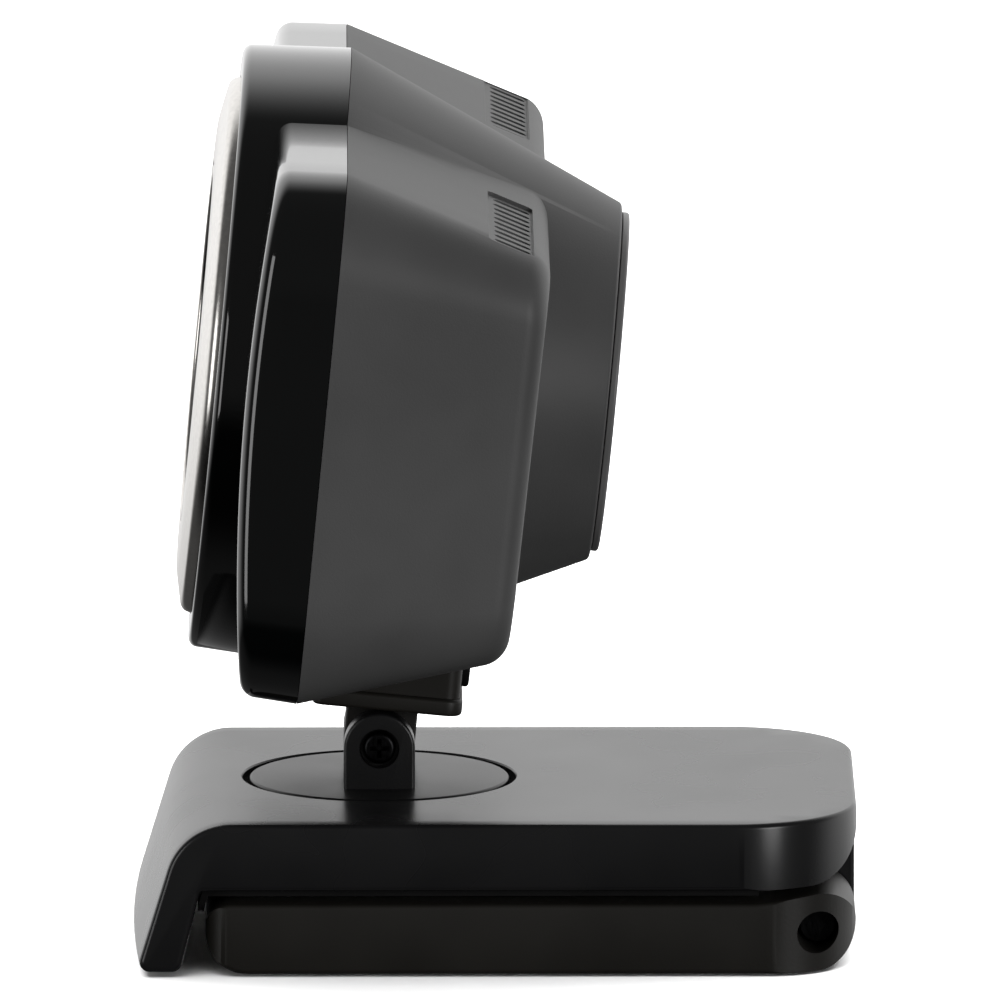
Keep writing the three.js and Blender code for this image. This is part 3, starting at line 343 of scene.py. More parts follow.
def piano_black(name, dark, light):
    """Polished black ABS: deep and mirror-like, with faint hairlines left by wiping."""
    material, tree, shader, vector = new_finish(
        name, IOR=1.52, Coat_Weight=0.6, Coat_Roughness=0.03, Coat_IOR=1.5
    )
    clouds = noise(tree, vector, 18, 2.0)
    stretch = add(tree, "ShaderNodeMapping", links=[(vector, "Vector")])
    stretch.inputs["Scale"].default_value = (0.15, 1.0, 1.0)
    hairs = noise(tree, stretch.outputs["Vector"], 0.8, 4.0, 0.7)
    vary_colour(tree, shader, clouds, dark, light)
    vary_roughness(tree, shader, hairs, 0.05, 0.12)
    return material


def brushed_metal(name, dark, light, rough_low, rough_high, streak_mm, along, depth_mm=0.003):
    """Machined or brushed metal: fine streaks in one direction."""
    material, tree, shader, vector = new_finish(name, Metallic=1.0)
    stretch = add(tree, "ShaderNodeMapping", links=[(vector, "Vector")])
    stretch.inputs["Scale"].default_value = along
    streaks = noise(tree, stretch.outputs["Vector"], streak_mm, 4.0, 0.7)
    vary_colour(tree, shader, streaks, dark, light)
    vary_roughness(tree, shader, streaks, rough_low, rough_high)
    raise_grain(tree, shader, streaks, depth_mm)
    return material


def soft_rubber(name, dark, light):
    """Silicone rubber: matt, dusty, with a faint moulded grain."""
    material, tree, shader, vector = new_finish(name, IOR=1.45, Specular_IOR_Level=0.35)
    dust = noise(tree, vector, 5, 4.0)
    grain = noise(tree, vector, 0.25, 2.0)
    vary_colour(tree, shader, dust, dark, light)
    vary_roughness(tree, shader, dust, 0.7, 0.88)
    raise_grain(tree, shader, grain, 0.02)
    return material


def coated_glass(name, tint):
    """A coated lens element: dark glass with a faint blue bloom."""
    material, tree, shader, vector = new_finish(
        name, IOR=1.6, Roughness=0.02, Coat_Weight=1.0, Coat_Roughness=0.01
    )
    bloom = noise(tree, vector, 9, 1.0)
    vary_colour(tree, shader, bloom, tint, "141b33")
    return material


def fibre_board(name):
    """Green solder mask over a woven glass board, in small cells."""
    material, tree, shader, vector = new_finish(name, IOR=1.5, Roughness=0.4)
    cells = add(tree, "ShaderNodeTexVoronoi", links=[(vector, "Vector")])
    cells.inputs["Scale"].default_value = per_metre(2.2)
    vary_colour(tree, shader, cells.outputs["Distance"], "2f7a4f", "17452d", 0.1, 0.5)
    raise_grain(tree, shader, cells.outputs["Distance"], 0.03)
    return material


# By material slot. The turntable's disc has a finish of its own.
FINISH = {
    # ABS under a thin satin lacquer: dark, but pale and soft where the light grazes it
    "cover_paint": painted_abs("satin_lacquered_abs", "222223", "29292a", 0.24, 0.3, 0.35, 0.002),
    # ABS from a spark-eroded mould: duller than the cover, so that the turntable stands off from it
    "disc": painted_abs("spark_textured_abs", "19191a", "1f1f20", 0.3, 0.38, 0.22, 0.012),
    # bare moulded ABS: a warm near-black that spreads its shine
    "satin_black": painted_abs("moulded_black_abs", "211f1b", "292723", 0.42, 0.5, 0.3, 0.008),
    # soft-touch lacquer: an even mid grey with almost no shine
    "satin_grey": painted_abs("soft_touch_grey_lacquer", "676767", "707070", 0.44, 0.52, 0.22, 0.012),
    # polished ABS: black except where it mirrors the light
    "gloss_black": piano_black("piano_black_abs", "060808", "090b0b"),
    # anodised aluminium with a satin face: bright, with soft wide highlights
    "silver": brushed_metal("satin_anodised_aluminium", "dedbd7", "ebe8e4", 0.2, 0.28, 0.5, (1, 1, 1),
                            depth_mm=0.0006),
    # lacquered ABS cap: a lighter grey, a little shinier than the shell round it
    "light_grey": painted_abs("light_grey_lacquered_abs", "8f8f8f", "a5a4a4", 0.3, 0.4, 0.3, 0.004),
    # silicone rubber: dull black that holds dust
    "rubber": soft_rubber("silicone_rubber", "0e0e0e", "191919"),
    # zinc-plated steel: a cool grey shine, streaked along the part
    "steel": brushed_metal("zinc_plated_steel", "84868a", "a2a4a7", 0.28, 0.42, 0.3, (1, 1, 0.2)),
    # blackened steel: a dark metal glint
    "black_steel": brushed_metal("blackened_steel", "19191a", "2b2b2c", 0.3, 0.45, 0.3, (1, 1, 0.3)),
    # coated glass: nearly black, with sharp reflections and a blue tint
    "lens_glass": coated_glass("coated_optical_glass", "0b0e18"),
    # circuit board: green mask in small cells
    "board": fibre_board("solder_mask_board"),
    # moulded epoxy: matt black with a visible grain
    "chip": painted_abs("moulded_epoxy", "0d0d0d", "171717", 0.45, 0.6, 0.2, 0.02),
    # light guide: milky, pale and smooth
    "clear_plastic": painted_abs("clear_light_guide", "b9c6da", "dbe6f5", 0.12, 0.2, 0.6, 0.004),
    # natural nylon: cream and waxy
    "nylon": painted_abs("natural_nylon", "cfccc2", "e2dfd6", 0.45, 0.55, 0.3, 0.01),
}

def dress_frame():
    """Gives every frame node the finish of its slot."""
    for entry in frame["record"]["subparts"]:
        mesh = NODES[entry["node"]].data
        mesh.materials.clear()
        mesh.materials.append(FINISH[entry["material_slot"]])


dress_frame()

# ---------------------------------------------------------------- what repeats

def repeat_tree(name, circular):
    """Geometry nodes that repeat a shape on a line along X or round a circle about the Z axis."""
    tree = bpy.data.node_groups.new(name, "GeometryNodeTree")
    for socket, kind in (("Shape", "NodeSocketObject"), ("Count", "NodeSocketInt"),
                         ("Start", "NodeSocketVector"), ("Step", "NodeSocketVector"),
                         ("Radius", "NodeSocketFloat"), ("Finish", "NodeSocketMaterial")):
        tree.interface.new_socket(name=socket, in_out="INPUT", socket_type=kind)
    tree.interface.new_socket(name="Result", in_out="OUTPUT", socket_type="NodeSocketGeometry")
    given = add(tree, "NodeGroupInput").outputs
    shape = add(tree, "GeometryNodeObjectInfo", links=[(given["Shape"], "Object")])
    if circular:
        points = add(tree, "GeometryNodeMeshCircle", links=[(given["Count"], "Vertices"),
                                                            (given["Radius"], "Radius")])
        index = add(tree, "GeometryNodeInputIndex")
        share = add(tree, "ShaderNodeMath", operation="DIVIDE")
        tree.links.new(index.outputs[0], share.inputs[0])
        tree.links.new(given["Count"], share.inputs[1])
        angle = add(tree, "ShaderNodeMath", operation="MULTIPLY")
        tree.links.new(share.outputs[0], angle.inputs[0])
        angle.inputs[1].default_value = 2 * math.pi
        turn = add(tree, "ShaderNodeCombineXYZ", links=[(angle.outputs[0], "Z")])
        placed = add(tree, "GeometryNodeInstanceOnPoints", links=[
            (points.outputs["Mesh"], "Points"), (shape.outputs["Geometry"], "Instance"),
            (turn.outputs[0], "Rotation")])
    else:
        points = add(tree, "GeometryNodeMeshLine", links=[(given["Count"], "Count"),
                                                          (given["Start"], "Start Location"),
                                                          (given["Step"], "Offset")])
        placed = add(tree, "GeometryNodeInstanceOnPoints", links=[
            (points.outputs["Mesh"], "Points"), (shape.outputs["Geometry"], "Instance")])
    real = add(tree, "GeometryNodeRealizeInstances", links=[(placed.outputs["Instances"], "Geometry")])
    dressed = add(tree, "GeometryNodeSetMaterial", links=[(real.outputs["Geometry"], "Geometry"),
                                                          (given["Finish"], "Material")])
    out = add(tree, "NodeGroupOutput")
    tree.links.new(dressed.outputs["Geometry"], out.inputs["Result"])
    return tree


ON_LINE = repeat_tree("repeat_on_a_line", circular=False)
ON_CIRCLE = repeat_tree("repeat_round_a_circle", circular=True)


def repeated(name, tree, shape, finish, **values):
    """The shape repeated by a tree, as one plain mesh object. The single shape is removed."""
    holder = bpy.data.objects.new(name, bpy.data.meshes.new(name))
    bpy.context.scene.collection.objects.link(holder)
    maker = holder.modifiers.new("repeat", "NODES")
    maker.node_group = tree
    values = {"Shape": shape, "Finish": finish, **values}
    for item in tree.interface.items_tree:
        if item.in_out == "INPUT" and item.name in values:
            maker[item.identifier] = values[item.name]
    graph = bpy.context.evaluated_depsgraph_get()
    mesh = bpy.data.meshes.new_from_object(holder.evaluated_get(graph))
    holder.modifiers.remove(maker)
    holder.data = mesh
    bpy.data.objects.remove(shape)
    return holder


# ---------------------------------------------------------------- head shells

SEAM = 0.03                    # half of the fine line between the shells
WING = {"half_width": 50.8, "half_height": 25.35, "corner": 9.0}
WING_DROP = 0.45               # the wings' middle below the axis
FRONT_LEAN = 0.024             # front face, u per mm of height
FRONT_EDGE_U = -5.9            # wings' front edge at half height, less the bow
FRONT_BOW = 1.6
FRONT_DRAFT = math.tan(math.radians(3.1))
FRONT_ROUND = 1.3
REAR_U = 19.58
REAR_LEAN = 0.0106             # rear face, u per mm of height
REAR_ROUND = 2.0
REAR_SLOPE = math.tan(math.radians(17.5))
SIDE_TAPER = 0.13
CORNER_TAPER = 0.17
DRUM_R = 29.35
DRUM_FRONT_R = 28.75
DRUM_FRONT_U = -10.2
REAR_DRUM_R = 17.0
REAR_DRUM_U = 27.05
WALL = 2.0
RING_R = 25.6
RING_SEAT_U = -8.9
RING_FIT = 0.12
OPENING_R = 14                 # hole in the shell behind the dish
SEAM_PASS = 2.0                # how far the hollows reach past the seam


CORNER_STEPS = 12
SIDE_STEPS = 16


def block_loop(half_width, half_height, corner):
    """A rounded rectangle with the same number of points whatever its size."""
    corner = max(0.05, min(corner, half_height - 0.02, half_width - 0.02))
    loop = []
    for a_sign, b_sign, start in ((1, -1, -90), (1, 1, 0), (-1, 1, 90), (-1, -1, 180)):
        centre = (a_sign * (half_width - corner), b_sign * (half_height - corner))
        loop += arc(*centre, corner, start, start + 90, CORNER_STEPS)
    spread = []
    for i, point in enumerate(loop):
        spread.append(point)
        if i % (CORNER_STEPS + 1) == CORNER_STEPS:
            start, end = Vector(point), Vector(loop[(i + 1) % len(loop)])
            spread += [tuple(start.lerp(end, k / SIDE_STEPS)) for k in range(1, SIDE_STEPS)]
    return spread


def wing_front(name, shrink=0.0, past_seam=0.0):
    """The wings ahead of the seam, with their bowed front and its rounded edge."""
    half_width = WING["half_width"] - shrink
    half_height = WING["half_height"] - shrink
    corner = WING["corner"] - shrink
    edge = max(0.3, FRONT_ROUND - shrink)

    def face(v):
        return FRONT_EDGE_U - FRONT_LEAN * v - FRONT_BOW * (1 - (v / WING["half_height"]) ** 2) + shrink

    def ring(amount, place):
        points = []
        for x, z in block_loop(half_width - amount, half_height - amount, corner - amount * 0.9):
            u = place(z)
            scale_x = 1 + FRONT_DRAFT * u / half_width
            scale_z = 1 + FRONT_DRAFT * u / half_height
            points.append((x * scale_x, u, z * scale_z - WING_DROP))
        return points

    start = -SEAM + past_seam
    rings = [ring(0, lambda v, t=t: start + t / 4 * (face(v) + edge - start)) for t in range(5)]
    for k in range(1, 9):
        angle = math.pi / 2 * k / 8
        rings.append(ring(edge * (1 - math.cos(angle)),
                          lambda v, a=angle: face(v) + edge * (1 - math.sin(a))))
    for k in range(1, 13):
        rings.append(ring(edge + (half_height - edge - 0.2) * k / 12, face))
    return surface(name, rings)


def wing_rear(name, shrink=0.0, past_seam=0.0):
    """The wings behind the seam, sloping in to a rear face with rounded edges."""
    half_width = WING["half_width"] - shrink
    half_height = WING["half_height"] - shrink
    corner = WING["corner"] - shrink
    edge = max(0.4, REAR_ROUND - shrink)

    def face(v):
        return REAR_U + REAR_LEAN * v - shrink

    def ring(amount, place):
        loop = []
        for i, (_, height) in enumerate(block_loop(half_width, half_height, corner)):
            u = place(height)
            x, z = block_loop(half_width - SIDE_TAPER * u - amount, half_height - REAR_SLOPE * u - amount,
                              corner - CORNER_TAPER * u - amount * 0.6)[i]
            loop.append((x, u, z - WING_DROP))
        return loop

    start = SEAM - past_seam
    rings = [ring(0, lambda v, t=t: start + t / 5 * (face(v) - edge - start)) for t in range(6)]
    for k in range(1, 9):
        angle = math.pi / 2 * k / 8
        rings.append(ring(edge * (1 - math.cos(angle)),
                          lambda v, a=angle: face(v) - edge * (1 - math.sin(a))))
    rings.append(ring(edge + 3, face))
    return surface(name, rings)


def drum_slope():
    """How fast the rear cone narrows."""
    return (DRUM_R - REAR_DRUM_R) / REAR_DRUM_U


def front_shell():
    """Gloss front shell: wings and drum joined, hollow behind, with a seat for the ring."""
    drum = turned("front_drum", rounded([
        (0, DRUM_FRONT_U, 0), (DRUM_FRONT_R, DRUM_FRONT_U, 0.9), (DRUM_R, -SEAM, 0), (0, -SEAM, 0),
    ], closed=False))
    shell = join(wing_front("front_shell_body"), drum)
    hollow = join(
        wing_front("front_hollow", shrink=WALL, past_seam=SEAM_PASS),
        turned("front_drum_hollow", [(0, RING_SEAT_U + WALL), (DRUM_FRONT_R - 1.6, RING_SEAT_U + WALL),
                                     (DRUM_R - 1.7, SEAM_PASS), (0, SEAM_PASS)]),
    )
    seat_r = RING_R + RING_FIT
    seat = turned("ring_seat", [(0, -FAR), (seat_r, -FAR), (seat_r, RING_SEAT_U), (0, RING_SEAT_U)])
    opening = turned("opening", [(0, -FAR), (OPENING_R, -FAR), (OPENING_R, 1), (0, 1)])
    return cut(shell, hollow, seat, opening)


def rear_shell():
    """Lacquered rear shell: wings and cone joined, hollow, with sound slots and screw wells."""
    cone = turned("rear_cone", rounded([
        (0, SEAM, 0), (DRUM_R, SEAM, 0), (REAR_DRUM_R, REAR_DRUM_U, 0.5), (0, REAR_DRUM_U, 0),
    ], closed=False))
    shell = join(wing_rear("rear_shell_body"), cone)
    thin = WALL * math.hypot(1, drum_slope())
    hollow = join(
        wing_rear("rear_hollow", shrink=WALL, past_seam=SEAM_PASS),
        turned("rear_cone_hollow", [
            (0, -SEAM_PASS), (DRUM_R + SEAM_PASS * drum_slope() - thin, -SEAM_PASS),
            (REAR_DRUM_R + WALL * drum_slope() - thin, REAR_DRUM_U - WALL), (0, REAR_DRUM_U - WALL),
        ]),
    )
    return cut(shell, hollow, *sound_slots(), *screw_wells())


SLOT_COUNT = 10
SLOT_PITCH = 2.4
SLOT_WIDTH = 1.15
SLOT_FRONT_U = 14.3
SLOT_REAR_U = 17.8
SLOT_OUTER_X = 42.4
PATCH_DEPTH = 0.35


def roof_height(u):
    return WING["half_height"] - WING_DROP - REAR_SLOPE * u


def sound_slots():
    """Cutters for the slots in each wing's roof, and for the shallow patch that they stand in."""
    cutters = []
    for side in (-1, 1):
        slot_shape = prism("slot", rounded([
            (-SLOT_WIDTH / 2, SLOT_FRONT_U, 0.5), (SLOT_WIDTH / 2, SLOT_FRONT_U, 0.5),
            (SLOT_WIDTH / 2, SLOT_REAR_U, 0.5), (-SLOT_WIDTH / 2, SLOT_REAR_U, 0.5),
        ], step_degrees=30), 12, FAR, "Z", edge=0.1, edge_steps=1)
        cutters.append(repeated(
            "slots", ON_LINE, slot_shape, FINISH["satin_grey"], Count=SLOT_COUNT,
            Start=(side * SLOT_OUTER_X, 0.0, 0.0), Step=(-side * SLOT_PITCH, 0.0, 0.0)))
        middle = side * (SLOT_OUTER_X - SLOT_PITCH * (SLOT_COUNT - 1) / 2)
        half = SLOT_PITCH * SLOT_COUNT / 2 + 0.5
        front, rear = SLOT_FRONT_U - 0.6, SLOT_REAR_U + 0.3
        patch = prism("patch", rounded([
            (middle - half, front, 0.6), (middle + half, front, 0.6),
            (middle + half, rear, 0.6), (middle - half, rear, 0.6),
        ]), 0, 10, "Z", edge=0.1, edge_steps=1,
            warp=lambda x, u, z: (x, u, z + roof_height(u) - PATCH_DEPTH))
        cutters.append(patch)
    return cutters


SCREW_SPOTS = [(-42, 13), (42, 13), (-42, -13), (42, -13)]
WELL_R = 2.3
WELL_FLOOR_U = 12.0


def moved(piece, x, u, z):
    """Shifts a piece's mesh."""
    piece.data.transform(Matrix.Translation((x, u, z)))
    return piece


def screw_wells():
    """Cutters for the round wells that the shell's screws stand in."""
    profile = [(0, WELL_FLOOR_U), (WELL_R, WELL_FLOOR_U), (WELL_R, FAR), (0, FAR)]
    return [moved(turned("well", profile, segments=48), x, 0, z) for x, z in SCREW_SPOTS]


def head_piece(piece, slot, *replaced):
    finish_piece(piece, HEAD, "head", slot, replaced)


head_piece(front_shell(), "gloss_black", "front_shell")
head_piece(rear_shell(), "satin_grey", "rear_shell")

REAR_DISC_R = 16.2
head_piece(turned("rear_cap", rounded([
    (0, REAR_DRUM_U - 2.2, 0), (3, REAR_DRUM_U - 2.2, 0), (3, REAR_DRUM_U + 0.1, 0),
    (REAR_DISC_R, REAR_DRUM_U + 0.1, 0.1), (REAR_DISC_R, REAR_DRUM_U + 0.8, 0.3),
    (0, REAR_DRUM_U + 0.8, 0),
], closed=False)), "light_grey", "rear_disc")

# ---------------------------------------------------------------- front trim and optics

RING_FRONT_U = -12.0
DISH_R = 15.75
FOCUS_R = 9.5
BARREL_R = 6.9


def front_ring():
    """Turned ring with a crowned face, a rounded outer edge and a fine groove near its inside."""
    profile = rounded([
        (16.0, RING_SEAT_U - 0.1, 0.1), (16.0, RING_FRONT_U, 0.35), (17.0, RING_FRONT_U, 0.1),
        (17.2, RING_FRONT_U + 0.25, 0.1), (17.5, RING_FRONT_U, 0.1),
        (21.5, RING_FRONT_U + 0.05, 8.0), (RING_R, RING_FRONT_U + 0.9, 1.1),
        (RING_R, RING_SEAT_U - 0.1, 0.2),
    ])
    return turned("silver_ring", profile, segments=256, closed=True)


def front_dish():
    """Glossy dish that falls towards the lens in fine steps, which keep stray light out."""
    hole_r, neck_r, rear, inner_u = 9.9, 13.7, -7.2, -8.9
    profile = [(DISH_R, RING_FRONT_U + 0.8), (DISH_R, RING_SEAT_U - 0.3), (neck_r, RING_SEAT_U - 0.3),
               (neck_r, rear), (hole_r, rear), (hole_r, inner_u)]
    steps = 7
    for i in range(1, steps):
        share = i / steps
        radius = hole_r + (14.6 - hole_r) * share
        place = inner_u + (RING_FRONT_U + 0.8 - inner_u) * share
        profile += [(radius - 0.12, place + 0.06), (radius, place - 0.06)]
    profile += [(14.7, RING_FRONT_U + 0.85), (15.0, RING_FRONT_U + 0.72), (15.5, RING_FRONT_U + 0.72)]
    return turned("lens_dish", profile, segments=192, closed=True)


def focus_ring():
    """Knurled ring: a turned band with fine ribs round it."""
    front, rear = -12.5, -7.1
    band = turned("focus_ring_band", rounded([
        (7.2, rear, 0.1), (7.2, front, 0.3), (FOCUS_R - 0.45, front, 0.5), (FOCUS_R - 0.3, front + 0.6, 0.1),
        (FOCUS_R - 0.3, rear - 0.3, 0.1), (FOCUS_R - 0.5, rear, 0.1),
    ]), segments=128, closed=True)
    rib = prism("rib", rounded([
        (FOCUS_R - 0.6, -0.32, 0.05), (FOCUS_R - 0.02, -0.14, 0.1),
        (FOCUS_R - 0.02, 0.14, 0.1), (FOCUS_R - 0.6, 0.32, 0.05),
    ], step_degrees=30), front + 0.7, rear - 0.5, "Z", edge=0.12, edge_steps=2)
    ribs = repeated("focus_ribs", ON_CIRCLE, rib, FINISH["satin_black"], Count=48, Radius=0.0)
    # Y and Z change places, which turns the faces inside out
    ribs.data.transform(Matrix(((1, 0, 0, 0), (0, 0, 1, 0), (0, 1, 0, 0), (0, 0, 0, 1))))
    ribs.data.flip_normals()
    return join(band, ribs)


def lens_barrel():
    """Turned barrel with a front retaining ring and stepped baffles behind it."""
    front, rear = -11.8, -0.8
    return turned("barrel", rounded([
        (3.2, rear, 0), (3.2, rear - 1, 0.1), (5.7, rear - 1, 0.1), (5.7, front + 2.2, 0.05),
        (5.3, front + 1.4, 0.05), (5.3, front + 1.1, 0.05), (5.6, front + 0.8, 0.05),
        (5.9, front, 0.2), (6.3, front, 0.1), (6.4, front + 0.2, 0.05), (6.5, front, 0.1),
        (BARREL_R - 0.05, front, 0.25), (BARREL_R - 0.05, rear, 0.1),
    ]), segments=128, closed=True)


def front_lens():
    """Domed front element, seated behind its retaining ring."""
    profile = [(0, -8.5)] + [(5.3 * k / 6, -8.5 - 0.1 * (k / 6) ** 2) for k in range(1, 7)]
    profile += [(5.4 * math.sin(a), -7.0 - 4.35 * math.cos(a) ** 0.9) for a in
                [math.radians(80 - 80 * k / 24) for k in range(24)]] + [(0, -11.35)]
    return turned("front_element", profile, segments=96)


head_piece(front_ring(), "silver", "front_ring")
head_piece(front_dish(), "gloss_black", "front_dish")
finish_piece(focus_ring(), HEAD, "focus", "satin_black", ["focus_ring"])
finish_piece(lens_barrel(), HEAD, "lens", "satin_black", ["lens_barrel"])
finish_piece(front_lens(), HEAD, "lens", "lens_glass", ["front_lens"], smooth_degrees=60)

# ---------------------------------------------------------------- neck

LUG_R = 3.4
LUG_HALF = 2.8
EAR_INNER_X = 3.9
EAR_OUTER_X = 6.9
PLATE_LOW = -PIVOT_BELOW_AXIS + LUG_R + 0.3
PLATE_HIGH = PLATE_LOW + 1.6
SADDLE_REAR_U = 16.1
GLAND_V = -28.5                # the gland's middle, below the optical axis
CONE_GAP = 0.06                # between the saddle and the cone


def lug_outline(centre_a, centre_b, radius, far_b):
    """A straight-sided lug with a round end about a centre."""
    up = far_b > centre_b
    bow = arc(centre_a, centre_b, radius, 180, 360, 24) if up else arc(centre_a, centre_b, radius, 180, 0, 24)
    return [(centre_a - radius, far_b)] + bow + [(centre_a + radius, far_b)]


def neck_bracket():
    """Bracket between the tilt screw and the drum: lug, plate and a saddle under the cone."""
    lug = prism("neck", lug_outline(PIVOT_BEHIND_SEAM, -PIVOT_BELOW_AXIS, LUG_R, PLATE_LOW + 0.5),
                -LUG_HALF, LUG_HALF, "X", edge=0.2)
    plate = prism("plate", rounded([(-7, 2.1, 1), (7, 2.1, 1), (7, 16.4, 1.6), (-7, 16.4, 1.6)]),
                  PLATE_LOW, PLATE_HIGH, "Z", edge=0.35)
    saddle = prism("saddle", rounded([(-6.2, 2.7, 1), (6.2, 2.7, 1), (6.2, SADDLE_REAR_U, 1.4),
                                      (-6.2, SADDLE_REAR_U, 1.4)]), PLATE_HIGH - 0.4, -18, "Z", edge=0.1)
    cone = turned("cone_clear", [(0, -4), (DRUM_R + 4 * drum_slope() + CONE_GAP, -4),
                                 (REAR_DRUM_R - 5 * drum_slope() + CONE_GAP, REAR_DRUM_U + 5),
                                 (0, REAR_DRUM_U + 5)])
    gland_seat = moved(turned("gland_seat", [(0, 12.7), (2.0, 12.7), (2.0, FAR), (0, FAR)], segments=48),
                       0, 0, GLAND_V)
    return cut(join(lug, plate, saddle), cone, gland_seat)


def cord_gland():
    """Moulded rubber gland with a rolled lip, where a cord would leave the neck."""
    return moved(turned("gland", rounded([
        (1.2, 15.1, 0.1), (1.7, 15.1, 0.1), (1.7, SADDLE_REAR_U + 0.05, 0.05),
        (2.2, SADDLE_REAR_U + 0.05, 0.05), (2.2, SADDLE_REAR_U + 0.8, 0.35),
        (1.2, SADDLE_REAR_U + 0.8, 0.25),
    ]), segments=64, closed=True), 0, 0, GLAND_V)


head_piece(neck_bracket(), "satin_black", "neck_bracket")
head_piece(cord_gland(), "rubber", "cord_gland")

# ---------------------------------------------------------------- turntable and tilt screw

DISC_R = 12.4
COVER_TOP = SWIVEL_POINT.z
SWIVEL_Y = SWIVEL_POINT.y
PIVOT_Z = TILT_POINT.z
SCREW_HEAD_R = 1.55


def swivel_disc():
    """Round turntable with a softened rim, carrying two ears with round tops."""
    disc = turned("turntable_disc", rounded([
        (0, COVER_TOP - 3.5, 0), (3.6, COVER_TOP - 3.5, 0.2), (3.6, COVER_TOP - 1.5, 0),
        (DISC_R, COVER_TOP - 1.5, 0.1), (DISC_R, COVER_TOP, 0.3), (0, COVER_TOP, 0),
    ], closed=False), axis="Z")
    disc.data.transform(Matrix.Translation((0, SWIVEL_Y, 0)))
    outline = lug_outline(SWIVEL_Y, PIVOT_Z, LUG_R, COVER_TOP - 0.5)
    ears = [prism("ear", outline, low, high, "X", edge=0.3) for low, high in
            ((-EAR_OUTER_X, -EAR_INNER_X), (EAR_INNER_X, EAR_OUTER_X))]
    recess = across(turned("recess", [(0, EAR_OUTER_X - 1.35), (SCREW_HEAD_R + 0.35, EAR_OUTER_X - 1.35),
                                      (SCREW_HEAD_R + 0.35, 12), (0, 12)], segments=64))
    through = across(turned("through", [(0, -12), (1.3, -12), (1.3, 12), (0, 12)], segments=48))
    nut_seat = across(turned("nut_seat", [(0, -12), (2.6, -12), (2.6, -EAR_OUTER_X + 1.7),
                                          (0, -EAR_OUTER_X + 1.7)], segments=6))
    return cut(join(disc, *ears), recess, through, nut_seat)


def across(piece):
    """Turns a piece made about the Y axis to lie along X through the tilt point."""
    piece.data.transform(Matrix.Translation((0, SWIVEL_Y, PIVOT_Z)) @ Matrix.Rotation(-math.pi / 2, 4, "Z"))
    return piece


def cross_recess(top, depth, reach, width):
    """Two crossed tapering slots that cut a cross-head screw."""
    arms = []
    for turn in (0, math.pi / 2):
        taper = [(-reach, top + 0.1), (reach, top + 0.1), (reach * 0.35, top - depth),
                 (-reach * 0.35, top - depth)]
        arm = prism("arm", taper, -width / 2, width / 2, "Z", edge=0.05, edge_steps=1)
        arm.data.transform(Matrix.Rotation(turn, 4, "Y"))
        arms.append(arm)
    return arms


def tilt_screw():
    """Pan-head screw with a cross recess."""
    head_low = EAR_OUTER_X - 1.25
    top = EAR_OUTER_X - 0.15
    body = turned("tilt_screw_body", rounded([
        (0, -EAR_OUTER_X + 0.1, 0), (1, -EAR_OUTER_X + 0.1, 0.2), (1, head_low, 0),
        (SCREW_HEAD_R, head_low, 0.1), (SCREW_HEAD_R, top, 0.45), (0, top, 0),
    ], closed=False), segments=96)
    return across(cut(body, *cross_recess(top, depth=0.75, reach=1.0, width=0.42)))


finish_piece(swivel_disc(), STAND, "turntable", "satin_black", ["swivel_disc"], finish="disc")
finish_piece(tilt_screw(), STAND, "turntable", "black_steel", ["tilt_screw"])

# ---------------------------------------------------------------- stand cover

STAND_HALF = 24.85
PAD_HALF = STAND_HALF - 2.0
PAD_FIT = 0.15
STAND_REAR = 34.4
COVER_LOW = COVER_TOP - 6.4
HOOK_BEND_Y = -25.07
HOOK_BEND_R = 6.2
HOOK_LEAN = math.radians(17)
HOOK_INNER_Y = -27.9
HOOK_INNER_LEAN = math.radians(13.8)
HOOK_LOW = 0.5
HOOK_BOW = 0.7
HOOK_PAD_TOP = 5.2
HOOK_SKIN = 1.1
COVER_CORNER = 12              # rear corners, seen from above
COVER_BORE_R = 1.9
HINGE_R = 3.7
KNUCKLE_HALF = 7.6
HINGE_Y = FOLD_POINT.y
HINGE_Z = FOLD_POINT.z


def hook_outer(z):
    """Y of the hook's outer face at a height."""
    end_y = HOOK_BEND_Y - HOOK_BEND_R * math.cos(HOOK_LEAN)
    end_z = COVER_TOP - HOOK_BEND_R * (1 - math.sin(HOOK_LEAN))
    return end_y - (end_z - z) * math.tan(HOOK_LEAN)


def hook_inner(z):
    """Y of the hook's inner face at a height."""
    return HOOK_INNER_Y - (COVER_LOW - z) * math.tan(HOOK_INNER_LEAN)


def bow(x, y, z):
    """Moves the hook's middle forward, more the further it is from the start of its bend."""
    share = max(0, min(1, (HOOK_BEND_Y - y) / (HOOK_BEND_Y - hook_outer(HOOK_LOW))))
    return (x, y - HOOK_BOW * share * max(0, 1 - (x / STAND_HALF) ** 2), z)


def even(low, high, count):
    """Places that divide a length into equal parts."""
    return [low + (high - low) * k / count for k in range(1, count)]


def room_for(node, corner, floor_z):
    """A cutter round a node's box with the clearance it has in its seat, open below."""
    low, high = box_mm(node)
    left, right, front, rear = low.x - SEAT_FIT, high.x + SEAT_FIT, low.y - SEAT_FIT, high.y + SEAT_FIT
    return prism(node + "_room", rounded([
        (left, front, corner), (right, front, corner), (right, rear, corner), (left, rear, corner),
    ]), floor_z, high.z + SEAT_FIT, "Z", edge=0.1)


def on_hinge(piece):
    """Turns a piece made about the Y axis to lie along the hinge pin."""
    piece.data.transform(Matrix.Translation((0, HINGE_Y, HINGE_Z)) @ Matrix.Rotation(-math.pi / 2, 4, "Z"))
    return piece


